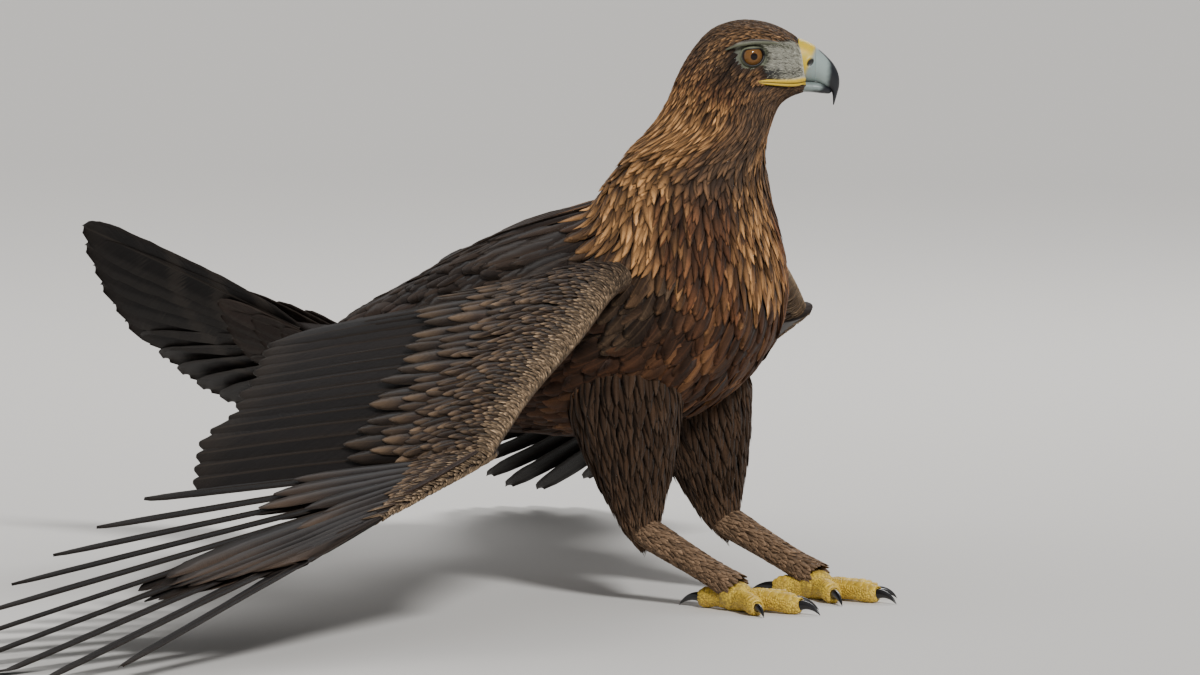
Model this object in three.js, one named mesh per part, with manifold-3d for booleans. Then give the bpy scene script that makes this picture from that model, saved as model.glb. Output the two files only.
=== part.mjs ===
// Golden eagle, adult, life size, still: it mantles with both wings spread and drooped,
// the body slopes up to an upright neck, and the head is turned to the bird's left.
// Millimetres. +X is forward, +Y is the bird's left, +Z is up, and z = 0 is the floor.
import * as THREE from 'three';
import { mergeVertices } from 'three/addons/utils/BufferGeometryUtils.js';
import Module from 'manifold-3d';

const wasm = await Module();
wasm.setup();

const degree = Math.PI / 180;
const UP = new THREE.Vector3(0, 0, 1);

// Gap that every two touching nodes keep.
const gap = 0.3;

// The head is modelled facing forward and turned about an upright axis through the neck.
const headYaw = 35 * degree;
const neckAxisX = -50;
const twistStartZ = 365;
const twistEndZ = 423;

// Profile of the body facing forward, from the rump to the forehead: a point on the back and
// one on the underside of each section as [x, z], and half the section's width across.
const torsoSections = [
  { back: [-470, 210], under: [-463, 180], half: 26 },
  { back: [-432, 236], under: [-415, 165], half: 45 },
  { back: [-370, 267], under: [-345, 150], half: 66 },
  { back: [-310, 297], under: [-275, 142], half: 84 },
  { back: [-245, 325], under: [-205, 138], half: 96 },
  { back: [-195, 341], under: [-135, 145], half: 101 },
  { back: [-170, 349], under: [-75, 165], half: 102 },
  { back: [-160, 352], under: [-25, 205], half: 99 },
  { back: [-157, 356], under: [0, 252], half: 92 },
];
const neckSections = [
  { back: [-153, 364], under: [-1, 303], half: 82 },
  { back: [-143, 377], under: [-9, 345], half: 69 },
  { back: [-126, 397], under: [-11, 380], half: 57 },
  { back: [-106, 418], under: [-7, 405], half: 50 },
];
const headSections = [
  { back: [-93, 440], under: [-1, 424], half: 45 },
  { back: [-84, 462], under: [4, 434], half: 41 },
  { back: [-72, 483], under: [9, 439], half: 38.5 },
  { back: [-54, 502], under: [13, 441.5], half: 37 },
  { back: [-30, 509.5], under: [16, 443], half: 36 },
  { back: [-8, 507.5], under: [19, 444], half: 33 },
  { back: [5, 503], under: [22, 445], half: 28 },
  { back: [15, 497.5], under: [25, 446], half: 21.5 },
  { back: [22, 492.5], under: [28, 447], half: 15.5 },
];
const bodySides = 20;
const billSides = 12;
const sectionRoundness = 2.15;

// Bill and cere, facing forward, by the same kind of section.
const upperBillSections = [
  { back: [21, 493], under: [20, 457], half: 14 },
  { back: [36, 485.5], under: [36, 456], half: 10.6 },
  { back: [45, 478], under: [42, 453.5], half: 9 },
  { back: [52, 470], under: [47, 450.5], half: 7 },
  { back: [56, 461], under: [49.5, 447.5], half: 5.2 },
  { back: [56.5, 452], under: [50.5, 444], half: 3.6 },
  { back: [54.5, 444], under: [50.8, 440], half: 2.2 },
  { back: [52, 435.5], under: [51, 434.6], half: 0.6 },
];
const lowerBillSections = [
  { back: [20, 456], under: [18, 446.5], half: 12 },
  { back: [34, 455], under: [33, 446], half: 8.3 },
  { back: [42, 452], under: [42, 445], half: 6.4 },
  { back: [47.5, 447.6], under: [48, 444.3], half: 3.4 },
];
const cereSwell = 0.7;
const cereFrontX = 35.5;
const nostril = { x: 31, y: 12, z: 473, long: 3.4, high: 2, deep: 3.5, slope: 50 * degree };

// Eyes, their lids, the sockets and the brow that overhangs them.
const eye = { x: -21, y: 25.2, z: 480.4, radius: 11.2, forward: 14 * degree, down: 3 * degree };
const socket = { reach: 12.5, long: 17, high: 12.5, deep: 6.5 };
const lid = { reach: 6.6, ring: 9.7, thick: 1.5 };
const brow = {
  x: -17,
  y: 32,
  z: 491.5,
  long: 24,
  high: 3.6,
  wide: 5,
  rise: 5 * degree,
  toe: 17 * degree,
};

// The corner of the mouth is a raised flange with the line of the mouth along it.
const gape = { points: [[-15, 29.6, 457.6], [0, 25.2, 455.9], [13, 18.6, 455.4], [26, 10.5, 455.8]] };
const flange = { high: 2.6, wide: 2 };
const mouthLine = { radius: 0.55, outward: 1.9, ahead: 0.6 };

// Vane outlines: [share of length, share of leading width, share of trailing width].
const flightOutline = [[0, 0.3, 0.3], [0.3, 0.95, 0.92], [0.8, 1, 1], [1, 0.24, 0.24]];
const notchedOutline = [[0, 0.2, 0.2], [0.2, 0.9, 0.9], [0.42, 1, 1], [0.55, 0.52, 0.58], [1, 0.12, 0.14]];
const covertOutline = [[0, 0.5, 0.5], [0.6, 1, 1], [1, 0.24, 0.24]];
const lockOutline = [[0, 0.8, 0.8], [0.5, 1, 1], [1, 0.08, 0.08]];
const flightThickness = { edge: 0.7, shaft: 1.8 };
const covertThickness = { edge: 0.8 };
const lockThickness = { edge: 1.6 };

// Tail: twelve feathers fanned from a flattened root, with a tier of coverts above and below.
// It is swung to the bird's left and rolled so that its right edge is up, and both edges curl up.
const tail = {
  root: vector(-452, 0, 198),
  along: vector(-0.958, 0.286, 0).normalize(),
  roll: 42 * degree,
  feathers: 12,
  spread: 24 * degree,
  lift: 2.5,
  stagger: 7,
  curl: 0.1,
  length: 300,
  width: 48,
  rootHalf: 31,
  sink: 34,
  shingle: 10 * degree,
  covertHalf: 18.6,
  covertStart: 16,
  coverts: [
    { count: 5, lift: 8.5, stagger: 2, length: 104, width: 38, slope: -0.006, spread: 22 * degree },
    { count: 4, lift: -9, stagger: 0.5, length: 124, width: 46, slope: 0.006, spread: 20 * degree },
  ],
  fleshSides: 12,
  flesh: [[-26, 33, 19], [0, 36, 17], [26, 38, 12], [54, 38, 8]],
};

// Wings. `lead` runs along the leading edge from the shoulder to the wrist, `chord` is the way the
// inner flight feathers point at the shoulder and at the wrist, and `tip` is the longest primary's tip.
const wingForms = {
  right: {
    lead: [
      vector(-84, -62, 292),
      vector(-66, -130, 284),
      vector(-50, -205, 250),
      vector(-44, -290, 204),
      vector(-39, -360, 154),
    ],
    chord: [vector(-1, 0.03, -0.155), vector(-1, 0, -0.105)],
    tip: vector(-58, -915, 1.2),
    firstPrimary: 0.1,
  },
  left: {
    lead: [
      vector(-90, 62, 292),
      vector(-108, 140, 292),
      vector(-140, 225, 280),
      vector(-170, 295, 252),
      vector(-190, 345, 222),
    ],
    chord: [vector(-1, -0.04, -0.15), vector(-0.97, -0.1, -0.2)],
    tip: vector(-668, 640, 1.2),
    firstPrimary: 0.12,
  },
};

const arm = {
  sections: 6,
  fleshChord: [122, 72],
  thickness: [40, 24],
  shingle: 7 * degree,
  firstFeather: 0.18,
  pastWrist: 6,
  tiers: [
    {
      name: 'secondaries',
      count: 13,
      rootShare: 0.72,
      reach: [405, 332],
      lift: 0,
      tipLift: 0,
      droop: 12,
      width: 52,
      lead: 0.4,
      outline: flightOutline,
      thickness: flightThickness,
    },
    {
      name: 'greater coverts',
      count: 10,
      rootShare: 0.6,
      reach: [205, 184],
      lift: 8.5,
      tipLift: 6.2,
      droop: 1,
      width: 42,
      lead: 0.5,
      outline: covertOutline,
      thickness: covertThickness,
    },
  ],
};

const hand = {
  boneLength: 138,
  fleshChord: [62, 22],
  thickness: [21, 7],
  primaries: { count: 10, lift: 0, tipLift: 0, inset: 1, lead: [0.42, 0.3], thickness: flightThickness },
  coverts: {
    count: 8,
    lift: 6,
    tipLift: 5.6,
    inset: 0.8,
    lead: [0.5, 0.5],
    length: [124, 150],
    width: 34,
    thickness: covertThickness,
  },
  firstNotched: 5,
  shingle: 8 * degree,
  sections: 6,
  beforeWrist: 8,
  rootSpan: [8, 126],
  rootInset: [36, 7],
  turn: [0.15, 0.6],
  endShare: 0.45,
  lengths: [300, 318, 342, 372, 404, 434, 456, 464, 448, 392],
  widths: [50, 48, 47, 46, 46, 46, 46, 45, 42, 34],
};

const alula = { feathers: 3, length: 96, shorter: 20, width: 20, lift: 11, drop: 1.2, step: 4 };

// Legs: feathered thigh and shank as one pointed form, feathered tarsus, bare toes and claws.
const leg = {
  hip: [-118, 50, 205],
  ankle: [-88, 62, 66],
  footX: 14,
  footY: 62,
  footZ: 19,
};

const thigh = {
  sides: 16,
  stations: [
    [0, 40, 56],
    [0.25, 41, 55],
    [0.5, 36, 45],
    [0.72, 28, 33],
    [0.88, 20.5, 23],
    [1, 15.5, 16],
    [1.06, 10, 10],
  ],
  locksAround: 5,
  lockSink: 1,
  lockInward: 0.2,
  locks: [
    { share: 0.42, wide: 38, deep: 48, turn: 0, length: 62, width: 30 },
    { share: 0.74, wide: 27, deep: 31, turn: 0.5, length: 52, width: 21 },
  ],
};

const tarsusForm = {
  stations: [[-0.04, 12.5], [0.15, 13], [0.45, 11.6], [0.75, 11], [0.92, 12.4]],
  sides: 12,
  lowest: 2,
};

const claw = {
  sweep: 100 * degree,
  rise: 14 * degree,
  rootShare: 0.62,
  above: 0.6,
  taper: 0.8,
  tip: 0.35,
  flat: 0.85,
  steps: 5,
  sides: 7,
};

const toeForm = { rootRadius: 9.5, start: 6, endShare: 0.86, arch: 3, sides: 8 };

const toes = [
  { name: 'middle', yaw: 2, length: 60, radius: 8.2, claw: 34 },
  { name: 'inner', yaw: 38, length: 42, radius: 8.4, claw: 42 },
  { name: 'outer', yaw: -36, length: 47, radius: 7.4, claw: 29 },
  { name: 'hind', yaw: 172, length: 36, radius: 8.6, claw: 50 },
];

const scute = { first: 0.35, ends: [0.56, 0.74, 0.92], step: 0.012, raise: 1, reach: 0.5 };

const padSink = 0.8;

const palm = { back: 1, z: 12.5, radii: vector(16, 14, 13.5) };

// Small seeded generator for the natural unevenness of feathers.
function makeRandom(seed) {
  let state = seed;
  return () => {
    state = (state * 16807) % 2147483647;
    return state / 2147483647;
  };
}

function vector(x, y, z) {
  return new THREE.Vector3(x, y, z);
}

function mix(a, b, share) {
  return a + (b - a) * share;
}

function smoothStep(value, low, high) {
  const share = Math.min(Math.max((value - low) / (high - low), 0), 1);
  return share * share * (3 - 2 * share);
}

// A closed mesh becomes a solid; it is turned outside out if its volume is negative.
function solidFrom(geometry) {
  const bare = new THREE.BufferGeometry();
  bare.setAttribute('position', geometry.getAttribute('position').clone());
  if (geometry.index) {
    bare.setIndex(geometry.index.clone());
  }
  const merged = mergeVertices(bare, 1e-4);
  const points = merged.getAttribute('position').array;
  const corners = Array.from(merged.index.array);
  const a = new THREE.Vector3();
  const b = new THREE.Vector3();
  const c = new THREE.Vector3();
  let volume = 0;
  for (let i = 0; i < corners.length; i += 3) {
    a.fromArray(points, corners[i] * 3);
    b.fromArray(points, corners[i + 1] * 3);
    c.fromArray(points, corners[i + 2] * 3);
    volume += a.dot(b.cross(c));
  }
  if (volume < 0) {
    corners.reverse();
  }
  return new wasm.Manifold(new wasm.Mesh({
    numProp: 3,
    vertProperties: new Float32Array(points),
    triVerts: new Uint32Array(corners),
  }));
}

function geometryFrom(points, triangles) {
  const geometry = new THREE.BufferGeometry();
  const values = points.flatMap((p) => [p.x, p.y, p.z]);
  geometry.setAttribute('position', new THREE.Float32BufferAttribute(values, 3));
  geometry.setIndex(triangles);
  return geometry;
}

// A skin over rings of equally many points, closed by a fan at each end.
function loft(rings) {
  const count = rings[0].length;
  const points = rings.flat();
  const triangles = [];
  for (let row = 0; row + 1 < rings.length; row++) {
    for (let i = 0; i < count; i++) {
      const a = row * count + i;
      const b = row * count + (i + 1) % count;
      triangles.push(a, b, b + count, a, b + count, a + count);
    }
  }
  const ends = [[0, false], [(rings.length - 1) * count, true]];
  for (const [start, last] of ends) {
    const middle = new THREE.Vector3();
    for (let i = 0; i < count; i++) {
      middle.add(points[start + i]);
    }
    points.push(middle.divideScalar(count));
    for (let i = 0; i < count; i++) {
      const here = start + i;
      const next = start + (i + 1) % count;
      triangles.push(points.length - 1, ...(last ? [here, next] : [next, here]));
    }
  }
  return solidFrom(geometryFrom(points, triangles));
}

// A thin plate between two grids of points, split into triangles alike on both faces.
function plate(top, bottom) {
  const rows = top.length;
  const columns = top[0].length;
  const points = [...top.flat(), ...bottom.flat()];
  const under = rows * columns;
  const triangles = [];
  const quad = (a, b, c, d) => triangles.push(a, b, c, a, c, d);
  for (let r = 0; r + 1 < rows; r++) {
    const here = r * columns;
    const next = here + columns;
    for (let k = 0; k + 1 < columns; k++) {
      quad(here + k, here + k + 1, next + k + 1, next + k);
      triangles.push(under + here + k, under + next + k + 1, under + here + k + 1);
      triangles.push(under + here + k, under + next + k, under + next + k + 1);
    }
    const last = columns - 1;
    quad(here, next, under + next, under + here);
    quad(here + last, under + here + last, under + next + last, next + last);
  }
  const end = (rows - 1) * columns;
  for (let k = 0; k + 1 < columns; k++) {
    quad(k, under + k, under + k + 1, k + 1);
    quad(end + k, end + k + 1, under + end + k + 1, under + end + k);
  }
  return solidFrom(geometryFrom(points, triangles));
}

// One feather: `across` points to its leading side, and roll lifts that side.
function vane({ root, along, across, length, width, lead, roll = 0, droop = 0, outline, thickness }) {
  const forward = along.clone().normalize();
  const flatAcross = across.clone().addScaledVector(forward, -across.dot(forward)).normalize();
  const flatNormal = new THREE.Vector3().crossVectors(forward, flatAcross);
  if (flatNormal.dot(UP) < 0) {
    flatNormal.negate();
  }
  const side = flatAcross.clone().multiplyScalar(Math.cos(roll));
  side.addScaledVector(flatNormal, Math.sin(roll));
  const normal = flatNormal.clone().multiplyScalar(Math.cos(roll));
  normal.addScaledVector(flatAcross, -Math.sin(roll));
  const top = [];
  const bottom = [];
  for (const [share, leading, trailing] of outline) {
    const centre = root.clone().addScaledVector(forward, length * share);
    centre.addScaledVector(flatNormal, -droop * share * share);
    const front = [width * lead * leading, thickness.edge];
    const behind = [-width * (1 - lead) * trailing, thickness.edge];
    const columns = [front, behind];
    if (thickness.shaft) {
      columns.splice(1, 0, [0, mix(thickness.shaft, thickness.edge, share)]);
    }
    const shift = (offset, rise) => (
      centre.clone().addScaledVector(side, offset).addScaledVector(normal, rise)
    );
    top.push(columns.map(([offset, thick]) => shift(offset, thick / 2)));
    bottom.push(columns.map(([offset, thick]) => shift(offset, -thick / 2)));
  }
  return plate(top, bottom);
}

function union(solids) {
  return wasm.Manifold.union(solids);
}

function largest(solid) {
  const bodies = solid.decompose();
  return bodies.reduce((best, body) => (body.volume() > best.volume() ? body : best));
}

function ellipsoid(centre, radii, turn = new THREE.Euler(), across = 12, down = 8) {
  const ball = new THREE.SphereGeometry(1, across, down);
  const place = new THREE.Matrix4().compose(centre, new THREE.Quaternion().setFromEuler(turn), radii);
  ball.applyMatrix4(place);
  return solidFrom(ball);
}

// Smooth sections between the named ones.
function refine(sections, steps) {
  const curve = (pick) => new THREE.CatmullRomCurve3(sections.map(pick), false, 'centripetal');
  const backs = curve((s) => vector(s.back[0], 0, s.back[1]));
  const unders = curve((s) => vector(s.under[0], 0, s.under[1]));
  const fine = [];
  const spans = sections.length - 1;
  for (let i = 0; i <= spans * steps; i++) {
    const t = i / (spans * steps);
    const span = Math.min(Math.floor(i / steps), spans - 1);
    const share = i / steps - span;
    const half = mix(sections[span].half, sections[span + 1].half, share);
    fine.push({ back: backs.getPoint(t), under: unders.getPoint(t), half });
  }
  return fine;
}

function sectionRing(section, grow, sides) {
  const centre = section.back.clone().add(section.under).multiplyScalar(0.5);
  const rise = section.back.clone().sub(section.under).multiplyScalar(0.5);
  const tall = rise.length();
  rise.multiplyScalar((tall + grow) / tall);
  const ring = [];
  for (let i = 0; i < sides; i++) {
    const angle = (i / sides) * 2 * Math.PI;
    const bulge = (value) => Math.sign(value) * Math.abs(value) ** (2 / sectionRoundness);
    const point = centre.clone().addScaledVector(rise, bulge(Math.cos(angle)));
    point.y += (section.half + grow) * bulge(Math.sin(angle));
    ring.push(point);
  }
  return ring;
}

function sectionLoft(sections, { grow = 0, sides = bodySides, steps = 2 } = {}) {
  return loft(refine(sections, steps).map((section) => sectionRing(section, grow, sides)));
}

// Keeps the part of a solid on the side of a section that faces away from the next ones or towards
// them, and leaves half the gap.
function cutAtSection(solid, section, keepAhead) {
  const back = vector(section.back[0], 0, section.back[1]);
  const under = vector(section.under[0], 0, section.under[1]);
  const line = back.clone().sub(under).normalize();
  const ahead = vector(line.z, 0, -line.x);
  if (!keepAhead) {
    ahead.negate();
  }
  return solid.trimByPlane(ahead.toArray(), ahead.dot(under) + gap / 2);
}

const bodySections = [...torsoSections, ...neckSections, ...headSections];
const bodySolid = sectionLoft(bodySections);
const bodyCutter = sectionLoft(bodySections, { grow: gap });

// Twist about the neck's upright axis, from nothing at the shoulders to the full turn at the head.
function twist(solid) {
  return solid.warp((point) => {
    const yaw = headYaw * smoothStep(point[2], twistStartZ, twistEndZ);
    const x = point[0] - neckAxisX;
    const y = point[1];
    point[0] = neckAxisX + x * Math.cos(yaw) - y * Math.sin(yaw);
    point[1] = x * Math.sin(yaw) + y * Math.cos(yaw);
  });
}

function material(color, roughness, metalness = 0) {
  return new THREE.MeshStandardMaterial({ color, roughness, metalness });
}

// A node's geometry is kept about its own root, and the mesh stands there.
function addNode(parent, name, solid, root, look) {
  const body = largest(solid.translate([-root.x, -root.y, -root.z]));
  const mesh = body.getMesh();
  const geometry = new THREE.BufferGeometry();
  geometry.setAttribute('position', new THREE.BufferAttribute(new Float32Array(mesh.vertProperties), 3));
  geometry.setIndex(new THREE.BufferAttribute(new Uint32Array(mesh.triVerts), 1));
  geometry.computeVertexNormals();
  const node = new THREE.Mesh(geometry, look);
  node.name = name;
  node.position.copy(root);
  parent.add(node);
  return node;
}

const eagle = new THREE.Group();
const headGroup = new THREE.Group();
headGroup.position.set(neckAxisX, 0, 0);
headGroup.rotation.z = headYaw;
eagle.add(headGroup);
const sides = [{ name: 'right', sign: -1 }, { name: 'left', sign: 1 }];
const headStart = headSections[0];
const neckStart = neckSections[0];
const faceEnd = headSections[headSections.length - 1];

function headPoint(x, y, z) {
  return vector(x - neckAxisX, y, z);
}

function intoHead(solid) {
  return solid.translate([-neckAxisX, 0, 0]);
}

function eyeAxis(sign) {
  const flat = Math.cos(eye.down);
  return vector(Math.sin(eye.forward) * flat, sign * Math.cos(eye.forward) * flat, -Math.sin(eye.down));
}

function eyeBall(sign, radius) {
  return ellipsoid(vector(eye.x, sign * eye.y, eye.z), vector(radius, radius, radius));
}

// Turns something modelled about +Z so that it looks along an axis from a centre.
function aim(geometry, centre, axis) {
  const turn = new THREE.Quaternion().setFromUnitVectors(UP, axis.clone().normalize());
  geometry.applyQuaternion(turn);
  geometry.translate(centre.x, centre.y, centre.z);
  return solidFrom(geometry);
}

function tube(points, radiusHigh, radiusWide, sidesAround, steps) {
  const outline = new THREE.Shape();
  outline.absellipse(0, 0, radiusHigh, radiusWide, 0, 2 * Math.PI);
  const path = new THREE.CatmullRomCurve3(points);
  const geometry = new THREE.ExtrudeGeometry(outline, {
    steps,
    curveSegments: Math.round(sidesAround / 2) * 2,
    extrudePath: path,
    bevelEnabled: false,
  });
  return solidFrom(geometry);
}

function buildHead() {
  let head = cutAtSection(bodySolid, headStart, true);
  for (const { sign } of sides) {
    const axis = eyeAxis(sign);
    const centre = vector(eye.x, sign * eye.y, eye.z);
    const bowl = ellipsoid(
      centre.clone().addScaledVector(axis, socket.reach),
      vector(socket.long, socket.deep, socket.high),
      new THREE.Euler(0, 0, -sign * eye.forward),
    );
    head = head.subtract(bowl);
    const ring = new THREE.TorusGeometry(lid.ring, lid.thick, 5, 16);
    const lids = aim(ring, centre.clone().addScaledVector(axis, lid.reach), axis);
    const ridge = ellipsoid(
      vector(brow.x, sign * brow.y, brow.z),
      vector(brow.long, brow.wide, brow.high),
      new THREE.Euler(0, -brow.rise, -sign * brow.toe),
      10,
      6,
    );
    const mouth = gape.points.map(([x, y, z]) => vector(x, sign * y, z));
    const outer = mouth.map((p) => vector(p.x + mouthLine.ahead, p.y + sign * mouthLine.outward, p.z));
    const corner = tube(mouth, flange.high, flange.wide, 6, 4);
    const groove = tube(outer, mouthLine.radius, mouthLine.radius, 4, 4);
    head = union([head, lids, ridge, corner]).subtract(groove).subtract(eyeBall(sign, eye.radius + gap));
  }
  head = cutAtSection(head, faceEnd, false);
  const root = headPoint(headStart.under[0], 0, headStart.under[1]);
  addNode(headGroup, 'head', intoHead(head), root, material(0x5b4636, 0.85));
}

function buildEyes() {
  const glossy = material(0xa8681f, 0.12);
  for (const { name, sign } of sides) {
    const root = headPoint(eye.x, sign * eye.y, eye.z);
    addNode(headGroup, `eye_${name}`, intoHead(eyeBall(sign, eye.radius)), root, glossy);
  }
}

function buildBill() {
  const frontCut = { back: [cereFrontX, 490], under: [cereFrontX - 1, 450] };
  const cereSections = upperBillSections.slice(0, 3);
  const cereSolid = sectionLoft(cereSections, { grow: cereSwell, sides: billSides });
  let cere = cutAtSection(cutAtSection(cereSolid, faceEnd, true), frontCut, false);
  for (const { sign } of sides) {
    const hole = ellipsoid(
      vector(nostril.x, sign * nostril.y, nostril.z),
      vector(nostril.long, nostril.deep, nostril.high),
      new THREE.Euler(0, -nostril.slope, 0),
      8,
      6,
    );
    cere = cere.subtract(hole);
  }
  const upper = cutAtSection(sectionLoft(upperBillSections, { sides: billSides }), frontCut, true);
  const lower = cutAtSection(sectionLoft(lowerBillSections, { sides: billSides }), faceEnd, true);
  const upperCutter = union([
    sectionLoft(upperBillSections, { sides: billSides, grow: gap }),
    sectionLoft(cereSections, { grow: cereSwell + gap, sides: billSides }),
  ]);
  const horn = material(0x6c7476, 0.35);
  const base = headPoint(faceEnd.back[0], 0, faceEnd.under[1]);
  addNode(headGroup, 'cere', intoHead(cere), base, material(0xc9b24a, 0.5));
  addNode(headGroup, 'bill_upper', intoHead(upper), headPoint(cereFrontX, 0, 470), horn);
  addNode(headGroup, 'bill_lower', intoHead(lower.subtract(upperCutter)), base, horn);
}

function buildNeckAndTorso() {
  const neck = cutAtSection(cutAtSection(bodySolid, neckStart, true), headStart, false);
  const torso = cutAtSection(bodySolid, neckStart, false);
  const neckRoot = vector(neckStart.under[0], 0, neckStart.under[1]);
  addNode(eagle, 'neck', twist(neck), neckRoot, material(0x9a6a3e, 0.85));
  addNode(eagle, 'torso', torso, vector(-170, 0, 240), material(0x4a3326, 0.88));
}

// The way to the tail's raised right side and the way out of its upper face, part rolled or in full.
function tailFrame(share) {
  const level = new THREE.Vector3().crossVectors(tail.along, UP).normalize().negate();
  const right = level.clone().applyAxisAngle(tail.along, -tail.roll * share);
  if (right.z < 0) {
    right.copy(level).applyAxisAngle(tail.along, tail.roll * share);
  }
  const normal = new THREE.Vector3().crossVectors(tail.along, right);
  if (normal.z < 0) {
    normal.negate();
  }
  return { right, normal };
}

function buildTail() {
  const random = makeRandom(71);
  const rings = tail.flesh.map(([distance, half, thick]) => {
    const { right, normal } = tailFrame(smoothStep(distance, -40, 30));
    const ring = [];
    for (let i = 0; i < tail.fleshSides; i++) {
      const angle = (i / tail.fleshSides) * 2 * Math.PI;
      const across = half * Math.cos(angle);
      const point = tail.root.clone().addScaledVector(tail.along, distance).addScaledVector(right, across);
      point.addScaledVector(normal, thick * Math.sin(angle) + tail.curl * across * across / half);
      ring.push(point);
    }
    return ring;
  });
  const pieces = [loft(rings)];
  const { right, normal } = tailFrame(1);
  const tier = (row) => {
    const { count, half, lift, stagger, length, width, start, thickness, outline, spread, slope } = row;
    for (let i = 0; i < count; i++) {
      const place = (i - (count - 1) / 2) / ((count - 1) / 2);
      const sign = place < 0 ? -1 : 1;
      const out = right.clone().multiplyScalar(sign);
      out.addScaledVector(normal, 2 * tail.curl * Math.abs(place)).normalize();
      const fan = Math.abs(place) * spread;
      const direction = tail.along.clone().multiplyScalar(Math.cos(fan)).addScaledVector(out, Math.sin(fan));
      direction.addScaledVector(normal, slope);
      const root = tail.root.clone().addScaledVector(tail.along, start);
      root.addScaledVector(right, place * half);
      root.addScaledVector(normal, lift - stagger * Math.abs(place) + tail.curl * half * place * place);
      pieces.push(vane({
        root,
        along: direction,
        across: out,
        length: length * (1 - 0.05 * place * place) * mix(0.985, 1.015, random()),
        width,
        lead: 0.42,
        roll: tail.shingle,
        droop: 0.02 * length,
        outline,
        thickness,
      }));
    }
  };
  tier({
    ...tail,
    count: tail.feathers,
    half: tail.rootHalf,
    length: tail.length - tail.sink,
    start: tail.sink,
    thickness: flightThickness,
    outline: flightOutline,
    slope: 0,
  });
  for (const row of tail.coverts) {
    tier({
      ...row,
      half: tail.covertHalf,
      start: tail.covertStart,
      thickness: covertThickness,
      outline: covertOutline,
    });
  }
  addNode(eagle, 'tail', union(pieces).subtract(bodyCutter), tail.root, material(0x2a2422, 0.8));
}

function wingSection(start, chord, normal, length, thick) {
  const ring = [];
  const around = 10;
  for (let i = 0; i < around; i++) {
    const angle = ((i + 0.5) / around) * 2 * Math.PI;
    const back = (1 - Math.cos(angle)) / 2;
    const rise = Math.sin(angle) * (1 - 0.5 * back) * thick * 0.6;
    ring.push(start.clone().addScaledVector(chord, back * length).addScaledVector(normal, rise));
  }
  return ring;
}

function wingFrame(form) {
  const edge = new THREE.CatmullRomCurve3(form.lead, false, 'centripetal');
  const at = (share) => {
    const point = edge.getPoint(share);
    const span = edge.getTangent(share);
    const chord = form.chord[0].clone().lerp(form.chord[1], share).normalize();
    const normal = new THREE.Vector3().crossVectors(span, chord).normalize();
    if (normal.z < 0) {
      normal.negate();
    }
    return { point, span, chord, normal };
  };
  return at;
}

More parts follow.
